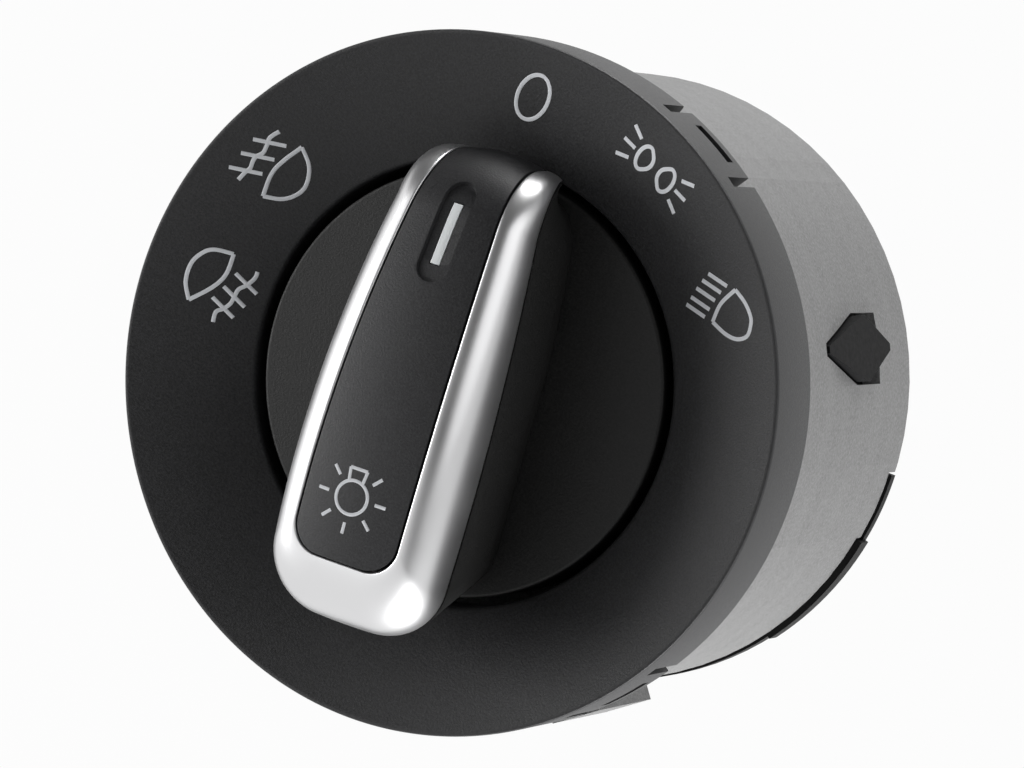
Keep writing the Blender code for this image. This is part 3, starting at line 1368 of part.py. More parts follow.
def build_insert(carrier):
    """The handle's top cover: a crowned strip laid along the crest and down over the pointer end."""
    corner_v = INSERT_LOW_END + INSERT_CORNER
    stations = []
    for angle in (0.0, 25.0, 50.0, 75.0, 90.0):
        v = INSERT_LOW_END + INSERT_CORNER * (1.0 - math.cos(math.radians(angle)))
        draw_in = INSERT_CORNER * (1.0 - math.sin(math.radians(angle)))
        stations.append((v, *crest(v), draw_in))
    for k in range(1, ARM_STEPS + 1):
        v = corner_v + (INSERT_NOSE_START - corner_v) * k / ARM_STEPS
        stations.append((v, *crest(v), 0.0))
    stations += [(*station, 0.0) for station in nose_stations(NOSE_STEPS, INSERT_END_HEIGHT)]
    loops = []
    spread = [-1.0, -0.8, -0.5, -0.2, 0.2, 0.5, 0.8, 1.0]
    for v, h, slope, draw_in in stations:
        full = insert_half_width(v)
        half = full - draw_in
        normal = crest_normal(slope)
        base = Vector((0.0, v, h))
        top = [
            base + Vector((half * s, 0, 0)) + normal * INSERT_CROWN * (1.0 - (half * s / full) ** 2)
            for s in spread
        ]
        under = [base + Vector((half * s, 0, 0)) - normal * INSERT_WALL for s in (1.0, 0.0, -1.0)]
        loops.append([point + Vector((0, 0, KNOB_FRONT)) for point in top + under])
    insert = finish("knob_insert", loft(loops), carrier, "insert_black", crease=40.0)
    recess_low = POINTER_LOW - POINTER_RECESS_MARGIN
    recess_high = POINTER_LOW + POINTER_LENGTH + POINTER_RECESS_MARGIN
    recess = crest_bar(
        recess_low, recess_high, POINTER_RECESS_HALF, INSERT_CROWN - POINTER_RECESS_DEPTH, INSERT_CROWN + CUT, True,
    )
    shape(insert, "DIFFERENCE", "pointer_recess", recess)
    slot = crest_bar(
        POINTER_LOW - SEAM, POINTER_LOW + POINTER_LENGTH + SEAM, POINTER_HALF + SEAM,
        -INSERT_WALL - CUT, INSERT_CROWN, False,
    )
    shape(insert, "DIFFERENCE", "pointer_slot", slot)


def crest_bar(low, high, half, bottom, top, round_ends, steps=8):
    """A bar laid along the crest line between two offsets from it, with square or round ends."""
    loops = []
    for k in range(steps + 1):
        share = k / steps
        v = low + (high - low) * (1.0 - math.cos(math.pi * share)) / 2
        width = half
        if round_ends:
            to_end = min(v - low, high - v)
            if to_end < half:
                width = max(math.sqrt(half * half - (half - to_end) ** 2), half * 0.25)
        h, slope = crest(v)
        normal = crest_normal(slope)
        base = Vector((0.0, v, h + KNOB_FRONT))
        side = Vector((width, 0, 0))
        loops.append([
            base - side + normal * bottom,
            base + side + normal * bottom,
            base + side + normal * top,
            base - side + normal * top,
        ])
    return loft(loops)


def light_riser():
    """Where the light rod's riser starts and ends along the handle."""
    middle = POINTER_LOW + POINTER_LENGTH / 2
    return middle - LIGHT_ARM_HALF, middle + LIGHT_ARM_HALF


def build_pointer(carrier):
    """The pale pointer window in its recess, and the clear rod that brings it light."""
    surface = INSERT_CROWN - POINTER_RECESS_DEPTH
    lens = crest_bar(
        POINTER_LOW, POINTER_LOW + POINTER_LENGTH, POINTER_HALF, surface - POINTER_LENS_DEPTH, surface, False,
    )
    finish("pointer_lens", lens, carrier, "lens_pale", crease=30.0)

    riser_low, riser_high = light_riser()
    riser_crest, _ = crest(riser_high)
    riser_top = KNOB_FRONT + riser_crest + surface - POINTER_LENS_DEPTH - 2 * CLEARANCE
    rod = finish(
        "knob_light_guide",
        prism(circle(LIGHT_ROD_RADIUS, 16), -SHAFT_BACK + CLEARANCE, KNOB_FRONT + LIGHT_ARM_TOP - SEAM),
        carrier, "clear_guide", crease=30.0,
    )
    arm = prism(
        rectangle(-LIGHT_ARM_HALF, LIGHT_ARM_HALF, 0.0, riser_high),
        KNOB_FRONT + LIGHT_ARM_BOTTOM, KNOB_FRONT + LIGHT_ARM_TOP,
    )
    shape(rod, "UNION", "light_arm", arm)
    riser = prism(
        rectangle(-LIGHT_ARM_HALF + SEAM, LIGHT_ARM_HALF - SEAM, riser_low, riser_high - SEAM),
        KNOB_FRONT + LIGHT_ARM_TOP - CUT, riser_top,
    )
    shape(rod, "UNION", "light_riser", riser)


def build_return_spring(carrier):
    """The coil round the boss that returns the knob when it has been pushed in."""
    bm = coil(
        RETURN_SPRING_RADIUS, RETURN_SPRING_WIRE, RETURN_SPRING_TURNS, -BEARING_FRONT + CLEARANCE,
        KNOB_BACK - CLEARANCE, Vector((0, 0, 0)), Vector((0, 0, 1)), sides=6, steps=16,
    )
    finish("return_spring", bm, carrier, "spring_steel", crease=60.0)


def build_fog_slider(carrier, frame):
    """The slider that follows the shaft's groove, its contact leaf and the board that the leaf wipes."""
    slider = finish(
        "fog_slider",
        prism(
            rectangle(-SLIDER_OUTER, -SLIDER_INNER, -SLIDER_HALF, SLIDER_HALF), -SLIDER_BACK, -SLIDER_FRONT,
        ),
        carrier, "acetal_white", crease=20.0,
    )
    slot = GROOVE_RADIUS + CLEARANCE
    fork = [
        (-SLIDER_INNER - CUT, -SLIDER_HALF + SEAM),
        (-SLIDER_INNER + CUT + CLEARANCE, -SLIDER_HALF + SEAM),
        (-slot - RAIL_WALL, -FORK_HALF),
        (FORK_PAST_CENTRE, -FORK_HALF),
        (FORK_PAST_CENTRE, -slot),
    ]
    arc = [
        (-slot * math.cos(math.radians(angle)), slot * math.sin(math.radians(angle)))
        for angle in (-90, -60, -30, 0, 30, 60, 90)
    ]
    outline = fork + arc + [(x, -y) for x, y in reversed(fork)]
    arm = prism(outline, -GROOVE_BACK + CLEARANCE, -GROOVE_FRONT - CLEARANCE)
    shape(slider, "UNION", "fork_arm", arm)

    leaf_inner = SLIDER_OUTER + CLEARANCE
    board_inner = fog_board_inner()
    leaf_bow = board_inner - CLEARANCE - FOG_CONTACT_WALL - leaf_inner
    middle = (SLIDER_FRONT + SLIDER_BACK) / 2
    near = []
    for k in range(9):
        share = k / 8
        near.append((
            -leaf_inner - leaf_bow * math.sin(math.pi * share), -middle + FOG_CONTACT_LENGTH * (share - 0.5),
        ))
    outline = [(x, z) for x, z in near] + [(x - FOG_CONTACT_WALL, z) for x, z in reversed(near)]
    bm = bmesh.new()
    rows = [
        [bm.verts.new((x, side * FOG_CONTACT_HALF, z)) for x, z in outline] for side in (-1, 1)
    ]
    for k in range(len(outline)):
        following = (k + 1) % len(outline)
        bm.faces.new((rows[0][k], rows[0][following], rows[1][following], rows[1][k]))
    bm.faces.new(list(reversed(rows[0])))
    bm.faces.new(rows[1])
    finish("fog_contact", bm, carrier, "contact_bronze", crease=50.0)

    half = SLIDER_HALF + CLEARANCE + RAIL_WALL
    finish(
        "fog_board",
        prism(
            rectangle(-board_inner - FOG_BOARD_WALL, -board_inner, -half, half),
            -FOG_BOARD_BACK, -MAIN_BOARD_BACK - CLEARANCE,
        ),
        frame, "board_green", crease=20.0,
    )


def fog_board_inner():
    """How far from the axis the upright board's wiped face stands: just outside the rails."""
    return SLIDER_OUTER + CUT + 2 * CLEARANCE


def main():
    """Build every piece under its own frame."""
    clear_scene()
    frame = empty("switch_frame", turn=(90.0, 0.0, 0.0))
    rotor_axis = empty("knob_turn_axis", frame, turn=(0.0, 0.0, -KNOB_REST_BEARING))
    slider_axis = empty("fog_slide_axis", frame)
    build_bezel(frame)
    build_housing(frame)
    build_rear_cover(frame)
    build_main_board(frame)
    build_lamps(frame)
    build_knob_lamp(frame)
    build_pins(frame)
    build_detent_spring(frame)
    for name, bearing in LATCH_BEARINGS.items():
        build_latch(name, bearing, frame)
        build_latch_spring(name.replace("latch", "latch_spring"), bearing, frame)
    build_rotor(frame)
    build_rotor_contact(frame)
    build_shaft(rotor_axis)
    build_knob_body(rotor_axis)
    build_trim(rotor_axis)
    build_insert(rotor_axis)
    build_pointer(rotor_axis)
    build_return_spring(rotor_axis)
    build_fog_slider(slider_axis, frame)
    bpy.context.view_layer.update()


if __name__ == "__main__":
    main()
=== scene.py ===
"""Looks for a rotary headlight switch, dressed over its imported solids.

Lengths are in millimetres and angles in degrees until a piece is delivered. The switch frame has x to
the driver's right, y up and z out of the panel towards the driver. The knob frame is the same frame
turned with the knob, so that its y runs towards the pointer.
"""

import logging
import math
from dataclasses import dataclass, field
from enum import Enum
from typing import Sequence

import bmesh
import bpy
from mathutils import Matrix, Vector


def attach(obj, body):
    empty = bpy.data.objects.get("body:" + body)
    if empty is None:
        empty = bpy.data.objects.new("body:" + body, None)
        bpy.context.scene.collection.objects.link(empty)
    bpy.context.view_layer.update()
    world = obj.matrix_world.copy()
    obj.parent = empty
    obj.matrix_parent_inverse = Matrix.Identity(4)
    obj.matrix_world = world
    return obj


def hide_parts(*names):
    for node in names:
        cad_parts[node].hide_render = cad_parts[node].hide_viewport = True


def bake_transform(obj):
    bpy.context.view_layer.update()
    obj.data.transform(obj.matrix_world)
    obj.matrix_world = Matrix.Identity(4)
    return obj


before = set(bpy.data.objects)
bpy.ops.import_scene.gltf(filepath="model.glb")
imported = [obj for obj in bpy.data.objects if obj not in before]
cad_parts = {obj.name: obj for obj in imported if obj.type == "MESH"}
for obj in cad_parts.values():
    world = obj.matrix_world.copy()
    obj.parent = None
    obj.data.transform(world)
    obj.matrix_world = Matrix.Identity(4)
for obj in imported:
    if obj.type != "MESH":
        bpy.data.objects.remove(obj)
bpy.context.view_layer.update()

LOG = logging.getLogger("headlight_switch")

Point = tuple[float, float]
Outline = list[Point]

MM = 0.001
BEZEL_RADIUS = 34.0
# The gap inside a hidden fit, and the gap of a seam that is seen.
CLEARANCE = 0.3
SEAM = 0.2
# A cutting shape starts and ends this far outside what it cuts.
CUT = 1.0
# The bearing, clockwise from straight up, of the off symbol and of the pointer at rest.
KNOB_REST_BEARING = -29.0
# Takes x right, y up, z out of the panel to the world's x right, y into the panel, z up.
AXES = Matrix(((1, 0, 0, 0), (0, 0, -1, 0), (0, 1, 0, 0), (0, 0, 0, 1)))

WHITE = "ffffff"
# The crease angle of pieces that are round all over: an edge stays sharp only past it.
SOFT = 60.0
# Corners that lie closer than this are one corner.
MERGE = 0.001
# Most of a noise texture's values lie between these, and its peaks between the next two.
NOISE_LOW, NOISE_HIGH = 0.3, 0.7
PEAK_LOW, PEAK_HIGH = 0.35, 0.75
# A wave texture's angle grows by this much, in radians, for each unit along its scaled axis.
WAVE_ANGLE = 20.0


class Place(Enum):
    """The frame that a piece is drawn in."""

    SWITCH = "switch"
    KNOB = "knob"

    def matrix(self) -> Matrix:
        """The matrix that takes this frame, in millimetres, to the world in metres."""
        turn = -KNOB_REST_BEARING if self is Place.KNOB else 0.0
        return AXES @ Matrix.Rotation(math.radians(turn), 4, "Z") @ Matrix.Scale(MM, 4)


class Body(Enum):
    """The rigid body that a piece rides on."""

    SWITCH = "switch_body"
    ROTOR = "rotor"
    KNOB = "knob"
    SLIDER = "fog_slider"
    LATCH_RIGHT = "latch_right"
    LATCH_LEFT = "latch_left"


class Operation(Enum):
    """How one shape changes another."""

    CUT = "DIFFERENCE"
    JOIN = "UNION"


def linear(hex_colour: str) -> tuple[float, float, float, float]:
    """Turn an sRGB hex colour into linear values.

    Args:
        hex_colour: Six hex digits, without a sign in front.

    Returns:
        Red, green, blue and a full alpha.
    """
    channels = [int(hex_colour[k:k + 2], 16) / 255 for k in (0, 2, 4)]
    values = [c / 12.92 if c <= 0.04045 else ((c + 0.055) / 1.055) ** 2.4 for c in channels]
    return values[0], values[1], values[2], 1.0


def live_socket(sockets: Sequence[bpy.types.NodeSocket], name: str | None = None) -> bpy.types.NodeSocket:
    """The first socket that the node's settings have switched on, of that name if one is given."""
    return next(socket for socket in sockets if socket.enabled and name in (None, socket.name))


def feed(tree: bpy.types.NodeTree, node: bpy.types.Node, inputs: dict) -> None:
    """Set or link some of a node's inputs.

    Args:
        tree: The node's tree.
        node: The node.
        inputs: What goes into each input, by the input's name or number: a value, an output socket,
            or a node, which gives its first live output.
    """
    for key, value in inputs.items():
        socket = node.inputs[key] if isinstance(key, int) else live_socket(node.inputs, key)
        if isinstance(value, bpy.types.Node):
            value = live_socket(value.outputs)
        if isinstance(value, bpy.types.NodeSocket):
            tree.links.new(value, socket)
        else:
            socket.default_value = value


def add_node(tree: bpy.types.NodeTree, kind: str, inputs: dict | None = None,
             **settings: object) -> bpy.types.Node:
    """Add a node with its settings and inputs.

    Args:
        tree: The node tree to add to.
        kind: The node's type name.
        inputs: What goes into its inputs, as for feed.
        settings: Properties of the node.

    Returns:
        The new node.
    """
    node = tree.nodes.new(kind)
    for name, value in settings.items():
        setattr(node, name, value)
    feed(tree, node, inputs or {})
    return node


@dataclass(frozen=True)
class Finish:
    """A surface as the eye meets it: what it is made of and how it was made.

    A finish with a grain takes its relief from it; one without is plain. The grain is a noise whose
    blobs are grain_mm wide, with finer layers in it that each keep a share of the strength.
    """

    name: str
    slot: str
    colour: str
    roughness: float
    metallic: float = 0.0
    specular: float = 0.5
    grain_mm: float = 0.0
    grain_layers: float = 2.0
    grain_keep: float = 0.5
    depth_mm: float = 0.0

    def material(self) -> bpy.types.Material:
        """The finish's material, made once.

        Returns:
            The material.
        """
        found = bpy.data.materials.get(self.name)
        if found:
            return found
        made = bpy.data.materials.new(self.name)
        made.use_nodes = True
        tree = made.node_tree
        shader = tree.nodes["Principled BSDF"]
        feed(tree, shader, {
            "Base Color": linear(self.colour),
            "Roughness": self.roughness,
            "Metallic": self.metallic,
            "Specular IOR Level": self.specular,
        })
        if self.grain_mm > 0.0:
            coords = add_node(tree, "ShaderNodeTexCoord").outputs["Object"]
            grain = add_node(tree, "ShaderNodeTexNoise", {
                "Vector": coords,
                "Scale": 1.0 / (self.grain_mm * MM),
                "Detail": self.grain_layers,
                "Roughness": self.grain_keep,
            })
            relief = add_node(tree, "ShaderNodeBump", {
                "Height": grain, "Distance": self.depth_mm * MM, "Strength": 1.0,
            })
            feed(tree, shader, {"Normal": relief})
            self.detail(tree, shader, coords, grain)
        return made

    def detail(self, tree: bpy.types.NodeTree, shader: bpy.types.Node, coords: bpy.types.NodeSocket,
               grain: bpy.types.Node) -> None:
        """Add what the bare shader and its grain lack.

        Args:
            tree: The material's node tree.
            shader: Its Principled node.
            coords: Object coordinates, in metres.
            grain: The noise of the fine grain.
        """


@dataclass(frozen=True)
class MouldedPlastic(Finish):
    """Injection-moulded plastic from a spark-eroded mould: matte, with a faint painted sparkle."""

    grain_layers: float = 3.0
    grain_keep: float = 0.6
    second: str = "303030"
    mottle_mm: float = 9.0
    mottle_layers: float = 3.0
    mottle_keep: float = 0.5
    uneven: float = 0.05
    # The flecks' colour, and how much of it the grain's peaks take: painted sparkle.
    fleck: str = "3a3a3a"
    flecked: float = 0.0

    def detail(self, tree: bpy.types.NodeTree, shader: bpy.types.Node, coords: bpy.types.NodeSocket,
               grain: bpy.types.Node) -> None:
        """Colour the plastic, and make its sheen uneven with the grain.

        Args:
            tree: The material's node tree.
            shader: Its Principled node.
            coords: Object coordinates, in metres.
            grain: The noise of the fine grain.
        """
        sheen = add_node(tree, "ShaderNodeMapRange", {
            "Value": grain,
            "From Min": NOISE_LOW,
            "From Max": NOISE_HIGH,
            "To Min": self.roughness - self.uneven,
            "To Max": self.roughness + self.uneven,
        })
        feed(tree, shader, {"Base Color": self.tone(tree, coords, grain), "Roughness": sheen})

    def tone(self, tree: bpy.types.NodeTree, coords: bpy.types.NodeSocket,
             grain: bpy.types.Node) -> bpy.types.Node:
        """Mix the plastic's two colours in a broad mottle, with painted sparkle as pale flecks on the grain's
        peaks.

        Args:
            tree: The material's node tree.
            coords: Object coordinates, in metres.
            grain: The noise of the fine grain.

        Returns:
            The node that gives the colour.
        """
        cloud = add_node(tree, "ShaderNodeTexNoise", {
            "Vector": coords,
            "Scale": 1.0 / (self.mottle_mm * MM),
            "Detail": self.mottle_layers,
            "Roughness": self.mottle_keep,
        })
        mottle = add_node(tree, "ShaderNodeMapRange", {
            "Value": cloud, "From Min": NOISE_LOW, "From Max": NOISE_HIGH,
        })
        body = add_node(tree, "ShaderNodeMix", {
            "Factor": mottle, "A": linear(self.colour), "B": linear(self.second),
        }, data_type="RGBA")
        peaks = add_node(tree, "ShaderNodeMapRange", {
            "Value": grain, "From Min": PEAK_LOW, "From Max": PEAK_HIGH, "To Max": self.flecked,
        })
        return add_node(tree, "ShaderNodeMix", {
            "Factor": peaks, "A": body, "B": linear(self.fleck),
        }, data_type="RGBA")


@dataclass(frozen=True)
class SkirtedPlastic(MouldedPlastic):
    """The bezel's fine-grained plastic, with its side painted greyer than its matt front as sheen."""

    # The side's colour: a greyer copy of the same black, which is painted sheen.
    side: str = "303030"
    painted_sheen_share: float = 0.75
    # The painted sheen's colour comes in between these two distances inside the bezel's radius.
    front_inset: float = 0.4
    side_inset: float = 0.1

    def tone(self, tree: bpy.types.NodeTree, coords: bpy.types.NodeSocket,
             grain: bpy.types.Node) -> bpy.types.Node:
        """Blend the side's painted sheen in over the rounded edge, by the distance to the axis.

        Args:
            tree: The material's node tree.
            coords: Object coordinates, in metres.
            grain: The noise of the fine grain.

        Returns:
            The node that gives the colour.
        """
        across = add_node(tree, "ShaderNodeVectorMath", {0: coords, 1: (1.0, 0.0, 1.0)}, operation="MULTIPLY")
        radius = add_node(tree, "ShaderNodeVectorMath", {0: across}, operation="LENGTH")
        # The share of painted sheen grows over the rounded edge towards the side.
        wall = add_node(tree, "ShaderNodeMapRange", {
            "Value": radius,
            "From Min": (BEZEL_RADIUS - self.front_inset) * MM,
            "From Max": (BEZEL_RADIUS - self.side_inset) * MM,
            "To Max": self.painted_sheen_share,
        })
        return add_node(tree, "ShaderNodeMix", {
            "Factor": wall, "A": super().tone(tree, coords, grain), "B": linear(self.side),
        }, data_type="RGBA")


@dataclass(frozen=True)
class TurnedMouldPlastic(MouldedPlastic):
    """Unpainted housing plastic: speckle, partly painted glints, over the faint rings of its turned mould."""

    grain_keep: float = 0.65
    mottle_layers: float = 4.0
    mottle_keep: float = 0.6
    ring_mm: float = 5.2
    ring_share: float = 0.10
    ring_waver: float = 1.2

    def tone(self, tree: bpy.types.NodeTree, coords: bpy.types.NodeSocket,
             grain: bpy.types.Node) -> bpy.types.Node:
        """Lay faint paler rings over the speckle, one after another along the axis.

        Args:
            tree: The material's node tree.
            coords: Object coordinates, in metres.
            grain: The noise of the fine grain.

        Returns:
            The node that gives the colour.
        """
        rings = add_node(tree, "ShaderNodeTexWave", {
            "Vector": coords,
            "Scale": math.tau / (self.ring_mm * MM * WAVE_ANGLE),
            "Distortion": self.ring_waver,
            "Detail": 2.0,
            "Detail Scale": 1.0,
        }, wave_type="BANDS", bands_direction="Y")
        faint = add_node(tree, "ShaderNodeMapRange", {
            "Value": rings.outputs["Fac"], "To Max": self.ring_share,
        })
        return add_node(tree, "ShaderNodeMix", {
            "Factor": faint, "A": super().tone(tree, coords, grain), "B": linear(self.fleck),
        }, data_type="RGBA")


@dataclass(frozen=True)
class BareMetal(Finish):
    """Plated or bare metal: a very fine grain, and a sheen that drifts slowly over the surface."""

    metallic: float = 1.0
    drift_mm: float = 6.0
    drift_layers: float = 2.0
    shinier: float = 0.02
    duller: float = 0.02

    def detail(self, tree: bpy.types.NodeTree, shader: bpy.types.Node, coords: bpy.types.NodeSocket,
               grain: bpy.types.Node) -> None:
        """Let the sheen drift.

        Args:
            tree: The material's node tree.
            shader: Its Principled node.
            coords: Object coordinates, in metres.
            grain: The noise of the fine grain.
        """
        drift = add_node(tree, "ShaderNodeTexNoise", {
            "Vector": coords, "Scale": 1.0 / (self.drift_mm * MM), "Detail": self.drift_layers,
        })
        sheen = add_node(tree, "ShaderNodeMapRange", {
            "Value": drift,
            "From Min": NOISE_LOW,
            "From Max": NOISE_HIGH,
            "To Min": self.roughness - self.shinier,
            "To Max": self.roughness + self.duller,
        })
        feed(tree, shader, {"Roughness": sheen})


@dataclass(frozen=True)
class DrawnMetal(BareMetal):
    """Drawn wire or rolled strip: fine marks from the die, and a slight tarnish."""

    grain_mm: float = 0.15
    grain_layers: float = 1.0
    depth_mm: float = 0.002
    drift_mm: float = 3.0
    drift_layers: float = 3.0
    shinier: float = 0.06
    duller: float = 0.08


@dataclass(frozen=True)
class ClearPlastic(Finish):
    """Polished clear or milky plastic, with the faint waviness of its moulding."""

    grain_mm: float = 2.5
    grain_layers: float = 1.0
    depth_mm: float = 0.004
    passes: float = 0.85
    refraction: float = 1.49

    def detail(self, tree: bpy.types.NodeTree, shader: bpy.types.Node, coords: bpy.types.NodeSocket,
               grain: bpy.types.Node) -> None:
        """Let light through.

        Args:
            tree: The material's node tree.
            shader: Its Principled node.
            coords: Object coordinates, in metres.
            grain: The noise of the waviness.
        """
        feed(tree, shader, {"Transmission Weight": self.passes, "IOR": self.refraction})


@dataclass(frozen=True)
class BoardLacquer(Finish):
    """Glass-fibre board under green solder lacquer, with copper showing through as paler tracks."""

    grain_mm: float = 0.4
    grain_layers: float = 1.0
    depth_mm: float = 0.004
    track: str = "2f8a4c"
    cell_mm: float = 2.4
    irregular: float = 0.6
    track_core: float = 0.05
    track_edge: float = 0.09

    def detail(self, tree: bpy.types.NodeTree, shader: bpy.types.Node, coords: bpy.types.NodeSocket,
               grain: bpy.types.Node) -> None:
        """Draw the tracks along the borders of squarish cells.

        Args:
            tree: The material's node tree.
            shader: Its Principled node.
            coords: Object coordinates, in metres.
            grain: The noise of the glass weave.
        """
        cells = add_node(tree, "ShaderNodeTexVoronoi", {
            "Vector": coords, "Scale": 1.0 / (self.cell_mm * MM), "Randomness": self.irregular,
        }, feature="DISTANCE_TO_EDGE", distance="CHEBYCHEV")
        border = add_node(tree, "ShaderNodeMapRange", {
            "Value": cells.outputs["Distance"],
            "From Min": self.track_core,
            "From Max": self.track_edge,
            "To Min": 1.0,
            "To Max": 0.0,
        })
        tracks = add_node(tree, "ShaderNodeMix", {
            "Factor": border, "A": linear(self.colour), "B": linear(self.track),
        }, data_type="RGBA")
        feed(tree, shader, {"Base Color": tracks})


@dataclass(frozen=True)
class Finishes:
    """Every finish of the switch."""

    # ABS from a finely spark-eroded mould. It looks matt black with a soft grey bloom where light
    # grazes it. The side of the skirt is the same black, painted greyer as sheen where light grazes it.
    # The real grain is about 0.05 mm and is drawn four times as coarse, so that it shows.
    bezel: SkirtedPlastic = SkirtedPlastic(
        "abs_black_fine_grain", "face_black", "141415", 0.52, specular=0.35, second="181819",
        grain_mm=0.22, depth_mm=0.035, fleck="3c3c3e", flecked=0.5, side="303031")
    # The same ABS and grain, in a deeper black that is painted shade: the handle's shadow on the disc,
    # spread over the whole knob. Its grain is drawn as coarse as the face's, for the same reason.
    knob: MouldedPlastic = MouldedPlastic(
        "abs_black_knob", "face_black", "0f0f0f", 0.50, specular=0.3, second="121212",
        grain_mm=0.22, depth_mm=0.035, fleck="323231", flecked=0.4)
    # PBT straight from a turned mould, unpainted. Its mid grey is painted sheen: a paler copy of the
    # black plastic where light grazes it. It is faintly ringed, and speckled partly by its glass filling and
    # partly with painted glints. The speckle of about 0.1 mm is drawn three times as coarse to show.
    housing: TurnedMouldPlastic = TurnedMouldPlastic(
        "pbt_sheen_grey_turned_mould", "housing_grey", "5f5f5f", 0.50, second="676767",
        grain_mm=0.30, depth_mm=0.04, mottle_mm=5.0, fleck="949494", flecked=0.9)
    # Black moulded PBT, hidden once it is fitted: plain, flat and dark, with little shine. Its grain
    # is drawn coarse, so that it shows.
    cover: MouldedPlastic = MouldedPlastic(
        "pbt_black_cover", "cover_black", "101010", 0.60, specular=0.2, second="141414",
        grain_mm=0.4, depth_mm=0.02)
    # ABS with a slightly glossier grain, worn by the fingers that turn it. It looks charcoal rather
    # than black. The grain is drawn four times as coarse as the real one, so that it shows.
    insert: MouldedPlastic = MouldedPlastic(
        "abs_black_insert", "insert_black", "1c1c1e", 0.48, specular=0.36, second="202021",
        grain_mm=0.20, depth_mm=0.030, fleck="464648", flecked=0.4)
    # Satin chrome plate on blasted ABS. It mirrors light and dark only as broad soft bands, with no
    # sharp picture in them. The grain of about 0.03 mm is drawn four times as coarse, so that it shows.
    trim: BareMetal = BareMetal(
        "satin_plate_trim", "satin_silver", "dadadb", 0.36, grain_mm=0.12, grain_keep=0.6, depth_mm=0.0008)
    # Milky moulded polycarbonate: it looks like a solid pale bar until the lamp behind it is lit.
    pointer: ClearPlastic = ClearPlastic("milky_pc_pointer", "lens_pale", "f2f6f7", 0.30, passes=0.02)
    # Screen-printed ink: flat pale grey with clean edges and no shine of its own.
    symbols: Finish = Finish("screen_ink_pale_grey", "lens_pale", "d2d4d8", 0.6, specular=0.3)
    # Polished acrylic: clear like glass, with bright edges and a faint waviness.
    clear: ClearPlastic = ClearPlastic("clear_acrylic_guide", "clear_guide", "eef2f4", 0.08)
    # Undyed moulded acetal: waxy off-white, smooth and a little glossy. Its flow marks are drawn
    # coarse, so that they show.
    white: MouldedPlastic = MouldedPlastic(
        "acetal_natural", "acetal_white", "e0ddd4", 0.38, second="dad6cb", grain_mm=0.8, depth_mm=0.006)
    # Black moulded acetal: the latches and the shaft look nearly black and dull, without highlights.
    # The grain is drawn coarse, so that it shows.
    dark: MouldedPlastic = MouldedPlastic(
        "acetal_black", "acetal_dark", "0c0c0d", 0.62, specular=0.12, second="101011",
        grain_mm=0.5, depth_mm=0.010)
    # Lacquered glass-fibre board: glossy deep green with paler green tracks. The weave of the glass
    # is drawn coarse, so that it shows.
    board: BoardLacquer = BoardLacquer("board_green_lacquer", "board_green", "14552f", 0.35)
    # Drawn spring steel: bright cool grey, with a touch of tarnish here and there.
    spring: DrawnMetal = DrawnMetal("spring_wire_drawn", "spring_steel", "bdbdbe", 0.30)
    # Rolled spring bronze: warm golden brown and shiny, uneven from handling.
    bronze: DrawnMetal = DrawnMetal("bronze_strip_rolled", "contact_bronze", "cf9a5c", 0.28)
    # Tin over brass: pale, faintly yellow metal with a soft shine.
    tinned: DrawnMetal = DrawnMetal("brass_pin_tinned", "tinned_brass", "d6cfb8", 0.28)
    # The moulded nylon body of a small lamp: warm ivory with an even, low shine.
    lamp: MouldedPlastic = MouldedPlastic(
        "lamp_body_moulded", "lamp_body", "e6dfc0", 0.35, second="ddd5b2", grain_mm=0.6, depth_mm=0.004)


FINISHES = Finishes()


